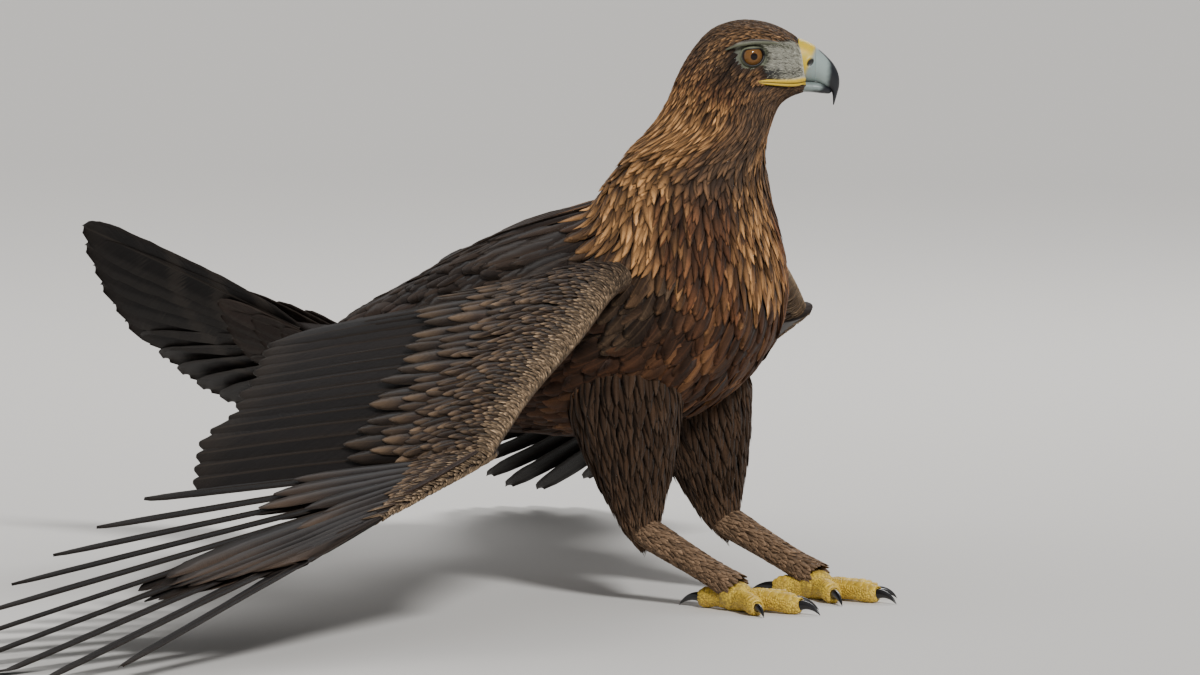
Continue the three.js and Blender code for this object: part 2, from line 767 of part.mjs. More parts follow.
function buildWing(name, form) {
  const random = makeRandom(name === 'right' ? 11 : 23);
  const at = wingFrame(form);
  const wrist = at(1);
  const handLine = form.tip.clone().sub(wrist.point).normalize();

  // The arm and the hand are parted by a flat cut that bisects them at the wrist.
  const partNormal = handLine.clone().addScaledVector(wrist.span, 1);
  partNormal.addScaledVector(wrist.chord, -partNormal.dot(wrist.chord)).normalize();
  const partOffset = partNormal.dot(wrist.point);

  const flesh = [];
  for (let i = 0; i < arm.sections; i++) {
    const share = i / (arm.sections - 1);
    const { point, chord, normal } = at(share);
    const deep = mix(...arm.fleshChord, share);
    flesh.push(wingSection(point, chord, normal, deep, mix(...arm.thickness, share)));
  }
  const past = flesh[flesh.length - 1].map((p) => p.clone().addScaledVector(partNormal, arm.pastWrist));
  flesh.push(past);
  const armPieces = [loft(flesh)];

  for (const row of arm.tiers) {
    for (let i = 0; i < row.count; i++) {
      const share = mix(arm.firstFeather, 1, (i + 0.5) / row.count);
      const { point, span, chord, normal } = at(share);
      const start = mix(...arm.fleshChord, share) * row.rootShare;
      const length = mix(...row.reach, share) - start;
      const root = point.clone().addScaledVector(chord, start).addScaledVector(normal, row.lift);
      armPieces.push(vane({
        ...row,
        root,
        along: chord.clone().addScaledVector(normal, (row.tipLift - row.lift) / length),
        across: span,
        length: length * mix(0.975, 1.025, random()),
        roll: arm.shingle,
      }));
    }
  }
  const armSolid = union(armPieces).subtract(bodyCutter);
  const armCut = armSolid.trimByPlane(partNormal.clone().negate().toArray(), -partOffset + gap / 2);
  addNode(eagle, `wing_${name}_arm`, armCut, form.lead[0], material(0x4b3a30, 0.85));

  const handNormal = new THREE.Vector3().crossVectors(handLine, wrist.chord).normalize();
  if (handNormal.z < 0) {
    handNormal.negate();
  }
  const handFlesh = [];
  for (let i = 0; i <= hand.sections; i++) {
    const share = i / hand.sections;
    const start = wrist.point.clone().addScaledVector(handLine, share * hand.boneLength);
    const chord = wrist.chord.clone().lerp(handLine, mix(...hand.turn, share)).normalize();
    const normal = wrist.normal.clone().lerp(handNormal, Math.min(share * 3, 1)).normalize();
    const closing = i === hand.sections ? hand.endShare : 1;
    const deep = mix(...hand.fleshChord, share) * closing;
    handFlesh.push(wingSection(start, chord, normal, deep, mix(...hand.thickness, share) * closing));
  }
  const inner = handFlesh[0].map((p) => p.clone().addScaledVector(partNormal, -hand.beforeWrist));
  const handPieces = [loft([inner, ...handFlesh])];

  const fan = (share) => wrist.chord.clone().applyAxisAngle(
    new THREE.Vector3().crossVectors(wrist.chord, handLine).normalize(),
    wrist.chord.angleTo(handLine) * share,
  );
  const handTier = (row) => {
    const { count, sizeAt, lift, tipLift, inset, lead, outlineAt, thickness } = row;
    for (let i = 0; i < count; i++) {
      const share = i / (count - 1);
      const direction = fan(mix(form.firstPrimary, 1, share ** 0.9));
      const across = handLine.clone().addScaledVector(wrist.chord, -0.9 + 0.2 * share);
      const root = wrist.point.clone().addScaledVector(handLine, mix(...hand.rootSpan, share));
      root.addScaledVector(wrist.chord, mix(...hand.rootInset, share) * inset);
      root.addScaledVector(handNormal, lift);
      const [length, width] = sizeAt(share, i);
      direction.addScaledVector(handNormal, (tipLift - lift) / length);
      handPieces.push(vane({
        root,
        along: direction,
        across,
        length: length * mix(0.99, 1.01, random()),
        width,
        lead: mix(...lead, share),
        roll: hand.shingle,
        outline: outlineAt(i),
        thickness,
      }));
    }
  };
  handTier({
    ...hand.primaries,
    sizeAt: (share, i) => [hand.lengths[i], hand.widths[i]],
    outlineAt: (i) => (i >= hand.firstNotched ? notchedOutline : flightOutline),
  });
  handTier({
    ...hand.coverts,
    sizeAt: (share) => [mix(...hand.coverts.length, share), hand.coverts.width],
    outlineAt: () => covertOutline,
  });

  // The alula, the thumb's few short feathers, lies on the leading edge just past the wrist.
  for (let i = 0; i < alula.feathers; i++) {
    const root = wrist.point.clone().addScaledVector(handLine, alula.step * (i + 1));
    root.addScaledVector(wrist.chord, alula.step * (i + 1));
    root.addScaledVector(handNormal, alula.lift - alula.drop * i);
    handPieces.push(vane({
      root,
      along: handLine.clone().addScaledVector(wrist.chord, 0.06 + 0.1 * i),
      across: wrist.chord.clone().negate(),
      length: alula.length - alula.shorter * i,
      width: alula.width,
      lead: 0.45,
      roll: hand.shingle,
      droop: 2,
      outline: covertOutline,
      thickness: covertThickness,
    }));
  }

  const handSolid = union(handPieces);
  const handCut = handSolid.trimByPlane(partNormal.toArray(), partOffset + gap / 2).trimByPlane([0, 0, 1], 0);
  addNode(eagle, `wing_${name}_hand`, handCut, form.lead[4], material(0x3a322d, 0.8));
}

function ringPoint(centre, axis, radiusA, radiusB, angle, reference = vector(0, 1, 0)) {
  const first = reference.clone().addScaledVector(axis, -reference.dot(axis)).normalize();
  const second = new THREE.Vector3().crossVectors(axis, first);
  const point = centre.clone().addScaledVector(first, radiusA * Math.cos(angle));
  return point.addScaledVector(second, radiusB * Math.sin(angle));
}

function ringAround(centre, axis, radiusA, radiusB, count, reference) {
  const ring = [];
  for (let i = 0; i < count; i++) {
    ring.push(ringPoint(centre, axis, radiusA, radiusB, (i / count) * 2 * Math.PI, reference));
  }
  return ring;
}

function buildThigh(sign) {
  const hip = vector(leg.hip[0], sign * leg.hip[1], leg.hip[2]);
  const ankle = vector(leg.ankle[0], sign * leg.ankle[1], leg.ankle[2]);
  const line = ankle.clone().sub(hip);
  const axis = line.clone().normalize();
  const rings = thigh.stations.map(([share, wide, deep]) => (
    ringAround(hip.clone().addScaledVector(line, share), axis, wide, deep, thigh.sides)
  ));
  const pieces = [loft(rings)];
  const random = makeRandom(sign < 0 ? 37 : 53);
  for (const { share, wide, deep, turn, length, width } of thigh.locks) {
    const middle = hip.clone().addScaledVector(line, share);
    const count = thigh.locksAround;
    for (let i = 0; i < count; i++) {
      const angle = ((i + turn) / count) * 2 * Math.PI;
      const root = ringPoint(middle, axis, wide - thigh.lockSink, deep - thigh.lockSink, angle);
      const out = root.clone().sub(middle).normalize();
      pieces.push(vane({
        root,
        along: axis.clone().addScaledVector(out, -thigh.lockInward),
        across: new THREE.Vector3().crossVectors(axis, out),
        length: length * mix(0.9, 1.1, random()),
        width,
        lead: 0.5,
        outline: lockOutline,
        thickness: lockThickness,
      }));
    }
  }
  return union(pieces);
}

function tarsusSolid(sign, grow) {
  const top = vector(leg.ankle[0], sign * leg.ankle[1], leg.ankle[2]);
  const foot = vector(leg.footX, sign * leg.footY, leg.footZ);
  const line = foot.clone().sub(top);
  const axis = line.clone().normalize();
  return loft(tarsusForm.stations.map(([share, radius]) => (
    ringAround(top.clone().addScaledVector(line, share), axis, radius + grow, radius + grow, tarsusForm.sides)
  )));
}

function buildLeg(name, sign) {
  const feather = material(0x5a4232, 0.88);
  const shank = buildThigh(sign).subtract(bodyCutter).subtract(tarsusSolid(sign, gap));
  addNode(eagle, `thigh_${name}`, shank, vector(leg.hip[0], sign * leg.hip[1], leg.hip[2]), feather);

  const foot = vector(leg.footX, sign * leg.footY, leg.footZ);
  const palmCentre = vector(foot.x - palm.back, foot.y, palm.z);
  const footPieces = [ellipsoid(palmCentre, palm.radii)];
  const claws = [];
  for (const toe of toes) {
    const yaw = sign * -toe.yaw * degree;
    const heading = vector(Math.cos(yaw), Math.sin(yaw), 0);
    const ground = vector(leg.footX, sign * leg.footY, 0);
    const shape = (share) => {
      const radius = mix(toeForm.rootRadius, toe.radius, share) * (share > 0.9 ? toeForm.endShare : 1);
      const height = radius - padSink + toeForm.arch * Math.sin(share * Math.PI) * (1 - share * 0.4);
      const centre = ground.clone().addScaledVector(heading, toeForm.start + share * toe.length);
      return { radius, centre: centre.setZ(height) };
    };
    // Each scute is a plate over the toe's top that rises towards the claw and ends in a step.
    const plates = scute.ends.flatMap((end) => [[end, scute.raise], [end + scute.step, 0]]);
    const stops = [[0, 0], [scute.first, 0], ...plates, [1, 0]];
    footPieces.push(loft(stops.map(([share, raise]) => {
      const { radius, centre } = shape(share);
      return ringAround(centre, heading, radius, radius, toeForm.sides, UP).map((point) => {
        const top = Math.max(point.z - centre.z, 0) / radius;
        return point.addScaledVector(UP, top > scute.reach ? raise : 0);
      });
    })));
    const end = shape(1);
    const clawRadius = end.radius * claw.rootShare;
    const bend = toe.claw / claw.sweep;
    const start = end.centre.clone().addScaledVector(heading, gap).setZ(end.centre.z + claw.above);
    const clawRings = [];
    for (let i = 0; i <= claw.steps; i++) {
      const share = i / claw.steps;
      const turned = share * claw.sweep;
      const forward = bend * (Math.sin(turned - claw.rise) + Math.sin(claw.rise));
      const drop = bend * (Math.cos(claw.rise) - Math.cos(turned - claw.rise));
      const centre = start.clone().addScaledVector(heading, forward);
      centre.z -= drop;
      const axis = heading.clone().multiplyScalar(Math.cos(turned - claw.rise));
      axis.addScaledVector(UP, -Math.sin(turned - claw.rise));
      const radius = Math.max(clawRadius * (1 - share) ** claw.taper, claw.tip);
      clawRings.push(ringAround(centre, i === 0 ? heading : axis, radius * claw.flat, radius, claw.sides));
    }
    claws.push({ toe, solid: loft(clawRings).trimByPlane([0, 0, 1], 0), start });
  }
  const soleCut = union(footPieces).trimByPlane([0, 0, 1], 0);
  const skin = material(0xd9c040, 0.55);
  addNode(eagle, `foot_${name}`, soleCut, vector(foot.x, foot.y, 0), skin);
  const palmCutter = ellipsoid(palmCentre, palm.radii.clone().addScalar(gap));
  const toeCutter = union(footPieces.slice(1)).translate([0, 0, gap]);
  const tarsus = tarsusSolid(sign, 0).subtract(palmCutter).subtract(toeCutter);
  const ankle = vector(leg.ankle[0], sign * leg.ankle[1], leg.ankle[2]);
  addNode(eagle, `tarsus_${name}`, tarsus.trimByPlane([0, 0, 1], tarsusForm.lowest), ankle, feather);
  const horn = material(0x1d1b1c, 0.3);
  for (const { toe, solid, start } of claws) {
    addNode(eagle, `claw_${name}_${toe.name}`, solid, start, horn);
  }
}

buildHead();
buildEyes();
buildBill();
buildNeckAndTorso();
buildTail();
for (const { name, sign } of sides) {
  buildWing(name, wingForms[name]);
  buildLeg(name, sign);
}

// The origin is on the floor, under the middle of the whole bird's box.
const box = new THREE.Box3().setFromObject(eagle, true);
const middle = box.getCenter(new THREE.Vector3());
eagle.position.set(-middle.x, -middle.y, -box.min.z);

export default eagle;
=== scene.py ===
from functools import partial
from math import acos, cos, pi, radians, sin, sqrt

import bpy
import numpy as np
from mathutils import Matrix, Vector, kdtree


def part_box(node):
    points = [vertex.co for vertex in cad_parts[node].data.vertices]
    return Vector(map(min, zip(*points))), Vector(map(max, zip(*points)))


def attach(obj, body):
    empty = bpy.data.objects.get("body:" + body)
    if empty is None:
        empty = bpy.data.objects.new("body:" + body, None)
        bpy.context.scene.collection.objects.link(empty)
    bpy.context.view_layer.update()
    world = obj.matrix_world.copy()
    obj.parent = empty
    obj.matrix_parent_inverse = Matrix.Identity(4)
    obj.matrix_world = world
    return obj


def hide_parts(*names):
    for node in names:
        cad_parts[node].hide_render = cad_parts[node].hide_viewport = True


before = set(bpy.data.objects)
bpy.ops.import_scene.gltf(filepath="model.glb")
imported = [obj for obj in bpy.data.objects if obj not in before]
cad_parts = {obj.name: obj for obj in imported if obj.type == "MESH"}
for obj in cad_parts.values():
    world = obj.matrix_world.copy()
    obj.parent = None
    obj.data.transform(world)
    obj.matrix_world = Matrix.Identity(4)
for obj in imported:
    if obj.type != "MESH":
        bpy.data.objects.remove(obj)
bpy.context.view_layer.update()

bl_info = {
    "name": "Golden eagle model",
    "version": (1, 0, 0),
    "blender": (4, 5, 0),
    "location": "View3D > Sidebar > Eagle",
    "description": "Dresses the packed solids of a life-size golden eagle with skin, feathers, bill, eyes and feet",
    "category": "Object",
}

# The photo in pixels: its size, where the bird's origin lies in it, and its pixels to a millimetre.
PHOTO = {"width": 1200, "height": 675, "x": 765, "y": 605, "scale": 1.15}

# Every measure below is in millimetres in the bird's own frame: +X forward, +Y its left, +Z up,
# z = 0 on the floor. The head is shaped facing forward and turned with the neck, about an upright axis at
# NECK_AXIS and between the heights in TWIST.
HEAD_TURN = radians(35)
NECK_AXIS = -50.0
TWIST = (365.0, 423.0)

# Body sections from the rump to the forehead: back point, underside point (x, z), half width.
BODY = [
    ((-470, 210), (-463, 180), 26), ((-432, 236), (-415, 165), 45), ((-370, 267), (-345, 150), 66),
    ((-310, 297), (-275, 142), 84), ((-245, 325), (-205, 138), 96), ((-195, 341), (-135, 145), 101),
    ((-170, 349), (-75, 165), 102), ((-160, 352), (-25, 205), 99), ((-157, 356), (0, 252), 92),
    ((-153, 364), (-1, 303), 82), ((-143, 377), (-9, 345), 69), ((-126, 397), (-11, 380), 57),
    ((-106, 418), (-7, 405), 50), ((-93, 440), (-1, 424), 45), ((-84, 462), (4, 434), 41),
    ((-72, 483), (9, 439), 38.5), ((-54, 502), (13, 441.5), 37), ((-30, 509.5), (16, 443), 36),
    ((-8, 507.5), (19, 444), 33), ((5, 503), (22, 445), 28), ((15, 497.5), (25, 446), 21.5),
    ((22, 492.5), (28, 447), 15.5),
]
# Bill sections from its root to its tip, as for the body.
UPPER_BILL = [
    ((21, 493), (20, 457), 14), ((36, 485.5), (36, 456), 10.6), ((45, 478), (42, 453.5), 9),
    ((52, 470), (47, 450.5), 7), ((56, 461), (49.5, 447.5), 5.2), ((56.5, 452), (50.5, 444), 3.6),
    ((54.5, 444), (50.8, 440), 2.2), ((52, 435.5), (51, 434.6), 0.6),
]
LOWER_BILL = [
    ((20, 456), (18, 446.5), 12), ((34, 455.4), (33, 446), 8.3), ((42, 453.8), (42, 445), 6.6),
    ((47.5, 451), (48.2, 445), 3.8), ((49.8, 449.6), (50.2, 447), 1.2),
]
# The corner of the mouth, as (x, z) pairs seen from the side.
GAPE = [(-16, 457.7), (-7, 457.1), (3, 456.3), (12, 455.7), (19, 455.6), (25, 456.2)]
EYE = {"x": -21.0, "y": 25.2, "z": 480.4, "radius": 11.2, "forward": radians(14), "down": radians(3)}
TAIL = {
    "root": (-452, 0, 198), "along": (-0.958, 0.286, 0), "roll": radians(42), "spread": radians(24),
    "curl": 0.1, "length": 300, "width": 50, "half": 31, "sink": 34,
}
# Each wing: its leading edge from shoulder to wrist, the ways back from it at both ends, and the hand's tip.
WINGS = {
    "right": {
        "lead": [(-84, -62, 292), (-66, -130, 284), (-50, -205, 250), (-44, -290, 204), (-39, -360, 154)],
        "chord": [(-1, 0.03, -0.155), (-1, 0, -0.105)], "tip": (-58, -915, 1.2), "first": 0.1, "seed": 11,
    },
    "left": {
        "lead": [(-90, 62, 292), (-108, 140, 292), (-140, 225, 280), (-170, 295, 252), (-190, 345, 222)],
        "chord": [(-1, -0.04, -0.15), (-0.97, -0.1, -0.2)], "tip": (-668, 640, 1.2), "first": 0.12, "seed": 23,
    },
}
# The arm's flesh at the shoulder and at the wrist.
FLESH_CHORD = (122, 72)
FLESH_THICK = (40, 24)
HAND = {"bone": 138, "chord": (62, 22), "thick": (21, 7), "span": (8, 126), "inset": (36, 7)}
SECONDARIES = 16
# Length and width of each primary from the innermost.
PRIMARIES = [
    (300, 50), (318, 48), (342, 47), (372, 46), (404, 46), (434, 46), (456, 46), (464, 45), (448, 42), (392, 34),
]
HIP, ANKLE, FOOT = (-118, 50, 205), (-88, 62, 66), (14, 62, 19)
# Legs: share of the way down, width and depth of the section.
THIGH = [(0, 40, 56), (0.25, 41, 55), (0.5, 36, 45), (0.72, 28, 33), (0.88, 20.5, 23), (1, 15.5, 16), (1.06, 10, 10)]
TARSUS = [(-0.04, 12.5, 12.5), (0.15, 13, 13), (0.45, 11.6, 11.6), (0.75, 11, 11), (0.92, 12.4, 12.4)]
# Each toe: degrees from straight ahead, length, radius and the length of its claw.
TOES = {
    "middle": (2, 60, 8.2, 34), "inner": (38, 42, 8.4, 42), "outer": (-36, 47, 7.4, 29), "hind": (172, 36, 8.6, 50),
}
SIDES = (("right", -1), ("left", 1))

# Outlines of small vanes: shares of the length and of the width at them.
LANCE = ([0, 0.2, 0.42, 0.62, 0.8, 0.92, 1], [0.35, 0.75, 1, 0.9, 0.6, 0.3, 0.05])
ROUND = ([0, 0.22, 0.48, 0.7, 0.86, 0.95, 1], [0.35, 0.8, 1, 0.97, 0.74, 0.42, 0.1])
SHORT = ([0, 0.35, 0.7, 1], [0.5, 1, 0.8, 0.12])
SHORT_LANCE = ([0, 0.3, 0.62, 0.86, 1], [0.4, 0.95, 0.95, 0.55, 0.06])
POINTED = ([0, 0.2, 0.42, 0.62, 0.78, 0.89, 0.96, 1], [0.6, 0.9, 1, 0.96, 0.82, 0.58, 0.32, 0.06])
# Outlines of large feathers: share of the length, then of the width on the leading and on the trailing side.
FLIGHT = [
    (0, 0.3, 0.3), (0.08, 0.62, 0.6), (0.3, 0.95, 0.92), (0.8, 1, 1), (0.9, 0.86, 0.9), (0.96, 0.6, 0.68),
    (1, 0.12, 0.2),
]
NOTCHED = [
    (0, 0.2, 0.2), (0.08, 0.6, 0.6), (0.2, 0.9, 0.9), (0.42, 1, 1), (0.55, 0.76, 0.82), (0.88, 0.68, 0.74),
    (0.96, 0.48, 0.54), (1, 0.14, 0.2),
]
COVERT = [(0, 0.5, 0.5), (0.3, 0.85, 0.85), (0.65, 1, 1), (0.85, 0.85, 0.88), (0.95, 0.52, 0.6), (1, 0.1, 0.12)]
STEM = np.array([(-1, 0), (0, 1), (1, 0), (0, -0.7)])
VANE_THICK = 0.5
# Barbs run this much back towards the root for each millimetre out from the shaft.
BARB_SLANT = 0.9
# Side of each vane's patch in the map OFBake.
BAKE_PATCH = 0.003
# Places tried for each one kept when small feathers are scattered.
CROWD = 5.0
# Stands for a distance too long to matter, in millimetres.
FAR = 1e3


def linear(code):
    """An sRGB hex value as linear red, green and blue."""
    value = np.array([int(code[i:i + 2], 16) for i in (0, 2, 4)]) / 255
    return np.where(value <= 0.04045, value / 12.92, ((value + 0.055) / 1.055) ** 2.4)


def colour(name, code, description):
    return bpy.props.FloatVectorProperty(
        name=name, description=description, subtype="COLOR", size=3, min=0, max=1, default=tuple(linear(code)),
    )


class EaglePlumage(bpy.types.PropertyGroup):
    """Colours of the feathers."""

    crown: colour("Crown", "30241c", "Dark brown of the crown and cheeks")
    crown_edge: colour("Crown edges", "6e543c", "Tan edges of the crown's feathers")
    throat: colour("Throat", "3b3029", "Grey brown of the throat")
    gold: colour("Gold", "2f1f15", "Brown of the nape's lance-shaped feathers")
    gold_edge: colour("Gold edges", "cb965f", "Golden tips on the nape and neck")
    breast: colour("Breast", "2b1f18", "Dark brown of the breast")
    rust: colour("Rust", "6b442b", "Rusty streaks of the breast")
    belly: colour("Belly", "2a1f18", "Dark brown of the belly and flanks")
    back: colour("Back", "201916", "Blackish brown of the back and shoulders")
    back_edge: colour("Back edges", "4b3c30", "Worn edges of the back's feathers")
    covert: colour("Wing coverts", "251b16", "Brown of the small wing coverts")
    covert_edge: colour("Wing covert edges", "7f674f", "Tan edges of the small wing coverts")
    marginal: colour("Wing edge", "a1876a", "Pale feathers along the wing's leading edge")
    flight: colour("Flight feathers", "191615", "Near black of the flight feathers")
    flight_base: colour("Flight bases", "3a322b", "Grey brown at the bases of the flight feathers")
    tail: colour("Tail", "161313", "Near black of the tail")
    tail_bar: colour("Tail bars", "36302b", "Grey bars of the tail")
    leg: colour("Thighs", "3b291b", "Brown of the thighs")
    tarsus: colour("Shanks", "78604a", "Pale brown of the short feathers above the toes")
    lore: colour("Lores", "b1af9f", "Grey white of the sparse feathers before the eye")


class EagleParts(bpy.types.PropertyGroup):
    """Colours of the bare parts."""

    cere: colour("Cere", "cdaa24", "Waxy yellow of the cere and the corner of the mouth")
    horn: colour("Bill base", "8d9a96", "Pale grey green at the base of the bill")
    horn_tip: colour("Bill tip", "15171c", "Near black hook of the bill")
    toe: colour("Toes", "d3b13a", "Yellow of the toes")
    claw: colour("Claws", "121112", "Black of the claws")
    iris: colour("Iris", "6d4b27", "Amber brown of the iris")
    lid: colour("Eyelids", "4b4d3d", "Grey olive of the lids and the brow")


class EagleCoat(bpy.types.PropertyGroup):
    """How thick and how dense the coat is."""

    depth: bpy.props.FloatProperty(
        name="Coat depth", description="How far the skin lies under the outer feathers of the body",
        default=0.007, min=0.001, max=0.02, unit="LENGTH",
    )
    density: bpy.props.FloatProperty(
        name="Density", description="Share of the usual number of small feathers", default=1.0, min=0.1, max=1.5,
    )


class EagleStage(bpy.types.PropertyGroup):
    """The studio round the model."""

    azimuth: bpy.props.FloatProperty(
        name="Azimuth", description="Camera's direction round the model", default=radians(35), subtype="ANGLE",
    )
    elevation: bpy.props.FloatProperty(
        name="Elevation", description="Camera's height above the horizon", default=radians(5), subtype="ANGLE",
    )
    distance: bpy.props.FloatProperty(
        name="Distance", description="Camera's distance from the model", default=16.0, min=2, unit="LENGTH",
    )
    frame_width: bpy.props.FloatProperty(
        name="Frame width", description="Width of the view at the model", unit="LENGTH",
        default=PHOTO["width"] / PHOTO["scale"] / 1000,
    )
    floor: colour("Floor", "d9d6d1", "Pale floor and backdrop")


def circle(count):
    """Angles of even steps round a circle."""
    return np.arange(count) / count * 2 * pi


def ease(value, low, high):
    """0 at `low`, 1 at `high` and smooth between them."""
    share = np.clip((np.asarray(value, float) - low) / (high - low), 0, 1)
    return share * share * (3 - 2 * share)


def mix(a, b, share):
    return a + (b - a) * share


def blend(a, b, share):
    """Mixes colours by one share for each row."""
    return a + (b - a) * np.asarray(share)[..., None]


def unit(vectors):
    vectors = np.asarray(vectors, float)
    return vectors / np.maximum(np.linalg.norm(vectors, axis=-1, keepdims=True), 1e-9)


def lie_flat(ways, normals):
    """Turns directions to lie square to the normals."""
    return unit(ways - normals * (ways * normals).sum(-1, keepdims=True))


def upward(way):
    return -way if way[2] < 0 else way


def spline(points, t):
    """Centripetal curve through the points; t runs from 0 to 1 with an equal share to each stretch."""
    points = np.asarray(points, float)
    count = len(points)
    padded = np.vstack([2 * points[0] - points[1], points, 2 * points[-1] - points[-2]])
    place = np.clip(np.asarray(t, float), 0, 1) * (count - 1)
    index = np.minimum(place.astype(int), count - 2)
    w = (place - index)[:, None]
    p = [padded[index + k] for k in range(4)]
    d = [np.sqrt(np.linalg.norm(p[k + 1] - p[k], axis=1))[:, None] for k in range(3)]
    d[1] = np.maximum(d[1], 1e-4)
    for k in (0, 2):
        d[k] = np.where(d[k] < 1e-4, d[1], d[k])
    t1, t2 = (
        ((p[k] - p[k - 1]) / d[k - 1] - (p[k + 1] - p[k - 1]) / (d[k - 1] + d[k]) + (p[k + 1] - p[k]) / d[k]) * d[1]
        for k in (1, 2)
    )
    return p[1] + t1 * w + (-3 * p[1] + 3 * p[2] - 2 * t1 - t2) * w ** 2 + (2 * p[1] - 2 * p[2] + t1 + t2) * w ** 3


def turn_about_neck(points, yaw):
    x, y = points[..., 0] - NECK_AXIS, points[..., 1]
    turned = points.copy()
    turned[..., 0] = NECK_AXIS + x * np.cos(yaw) - y * np.sin(yaw)
    turned[..., 1] = x * np.sin(yaw) + y * np.cos(yaw)
    return turned


def twist(points):
    """Turns the neck and head to the bird's left about an upright axis."""
    return turn_about_neck(points, HEAD_TURN * ease(points[..., 2], *TWIST))


def facing_forward(points):
    """Undoes the head's turn, for measures on the head."""
    return turn_about_neck(points, -HEAD_TURN)


def eye_centre(sign):
    return np.array([EYE["x"], sign * EYE["y"], EYE["z"]])


def find_origin():
    """Where the bird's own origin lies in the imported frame, found from the left eye."""
    middle = np.sum(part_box("eye_left"), axis=0) * 500
    return (middle - twist(eye_centre(1)[None])[0]) * (1, 1, 0)


ORIGIN = find_origin()


def point_tree(points):
    tree = kdtree.KDTree(len(points))
    for i, point in enumerate(points):
        tree.insert(point, i)
    tree.balance()
    return tree


def section_grid(sections, k, columns, grow=0.0, roundness=2.15):
    """Rings at the places k along the sections; the first column is on the back, then the bird's left."""
    t = np.asarray(k, float) / (len(sections) - 1)
    backs, unders = (spline([(s[side][0], 0, s[side][1]) for s in sections], t) for side in (0, 1))
    half = np.interp(k, range(len(sections)), [s[2] for s in sections])
    centre, rise = (backs + unders) / 2, (backs - unders) / 2
    grow = np.broadcast_to(np.asarray(grow, float), half.shape)
    tall = np.linalg.norm(rise, axis=1)
    rise = rise * np.maximum((tall + grow) / tall, 0.05)[:, None]
    half = np.maximum(half + grow, 0.3)

    def bulge(value):
        return np.sign(value) * np.abs(value) ** (2 / roundness)

    grid = centre[:, None] + rise[:, None] * bulge(np.cos(circle(columns)))[None, :, None]
    grid[..., 1] += half[:, None] * bulge(np.sin(circle(columns)))[None, :]
    return grid


def ring(centre, axis, wide, tall, angle, reference=(0, 1, 0)):
    """An oval round an axis, `wide` towards the reference direction and `tall` across it."""
    axis = unit(axis)
    first = lie_flat(np.array(reference, float), axis)
    return centre + first * wide * np.cos(angle)[..., None] + np.cross(axis, first) * tall * np.sin(angle)[..., None]


def ring_quads(rows, columns, closed=True, looped=False):
    """Faces between the rows of a grid; its columns may close on themselves, and its rows too."""
    r, c = np.meshgrid(np.arange(rows - (not looped)), np.arange(columns - (not closed)), indexing="ij")
    here, below, after = r * columns, (r + 1) % rows * columns, (c + 1) % columns
    return np.stack([here + c, here + after, below + after, below + c], axis=-1).reshape(-1, 4)


def sleeve_quads(rows, wide):
    """Faces of a row of rings, closed at both ends by quads from one half of the ring to the other."""
    c = np.arange(wide // 2 - 1)
    lid = np.stack([c, wide - 1 - c, wide - 2 - c, c + 1], axis=-1)
    return np.concatenate([ring_quads(rows, wide), lid, lid[:, ::-1] + (rows - 1) * wide])


def grid_mesh(grid, closed=True, caps=True, looped=False):
    """Points and faces of a skin over a grid of rings, with a fan over each end; the faces look outwards."""
    rows, columns = grid.shape[:2]
    points, quads, triangles = grid.reshape(-1, 3), ring_quads(rows, columns, closed, looped), np.zeros((0, 3), int)
    if caps:
        points = np.concatenate([points, [grid[0].mean(0), grid[-1].mean(0)]])
        c = np.arange(columns)
        after, end, middle = (c + 1) % columns, (rows - 1) * columns, np.full(columns, rows * columns)
        triangles = np.concatenate([
            np.stack([middle, after, c], axis=-1), np.stack([middle + 1, end + c, end + after], axis=-1),
        ])
    volume = sum(
        np.einsum("ij,ij->", points[a], np.cross(points[b], points[c]))
        for a, b, c in (quads[:, [0, 1, 2]].T, quads[:, [0, 2, 3]].T, triangles.T)
    )
    if volume < 0:
        quads, triangles = quads[:, ::-1], triangles[:, ::-1]
    return points, quads, triangles


def put_data(mesh, data):
    """Keeps arrays of one row for each point: two columns as a map, three as a colour, one as a value."""
    corners = np.zeros(len(mesh.loops), np.int32)
    mesh.loops.foreach_get("vertex_index", corners)
    for label, rows in data.items():
        rows = rows.reshape(len(rows), -1)
        if rows.shape[1] == 2:
            layer, key, rows = mesh.uv_layers.new(name=label), "uv", rows[corners]
        elif rows.shape[1] == 3:
            layer, key = mesh.attributes.new(label, "FLOAT_COLOR", "POINT"), "color"
            rows = np.concatenate([rows, np.ones((len(rows), 1))], 1)
        else:
            layer, key = mesh.attributes.new(label, "FLOAT", "POINT"), "value"
        layer.data.foreach_set(key, rows.astype(np.float32).ravel())


def make_object(name, mesh):
    piece = bpy.data.objects.new(name, mesh)
    bpy.context.scene.collection.objects.link(piece)
    return piece


def make_mesh(name, points, quads, triangles, data=None):
    """A smooth mesh object from arrays in the bird's frame."""
    corners = np.concatenate([quads.ravel(), triangles.ravel()]).astype(np.int32)
    totals = np.repeat((4, 3), (len(quads), len(triangles)))
    mesh = bpy.data.meshes.new(name)
    mesh.vertices.add(len(points))
    mesh.vertices.foreach_set("co", ((points + ORIGIN) / 1000).astype(np.float32).ravel())
    mesh.loops.add(len(corners))
    mesh.loops.foreach_set("vertex_index", corners)
    mesh.polygons.add(len(totals))
    mesh.polygons.foreach_set("loop_start", (np.cumsum(totals) - totals).astype(np.int32))
    put_data(mesh, data or {})
    mesh.update(calc_edges=True)
    mesh.validate()
    mesh.shade_smooth()
    return make_object(name, mesh)


def finish_piece(piece, look, replaced=()):
    piece.data.materials.clear()
    piece.data.materials.append(bpy.data.materials[look])
    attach(piece, "root")
    if replaced:
        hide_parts(*replaced)


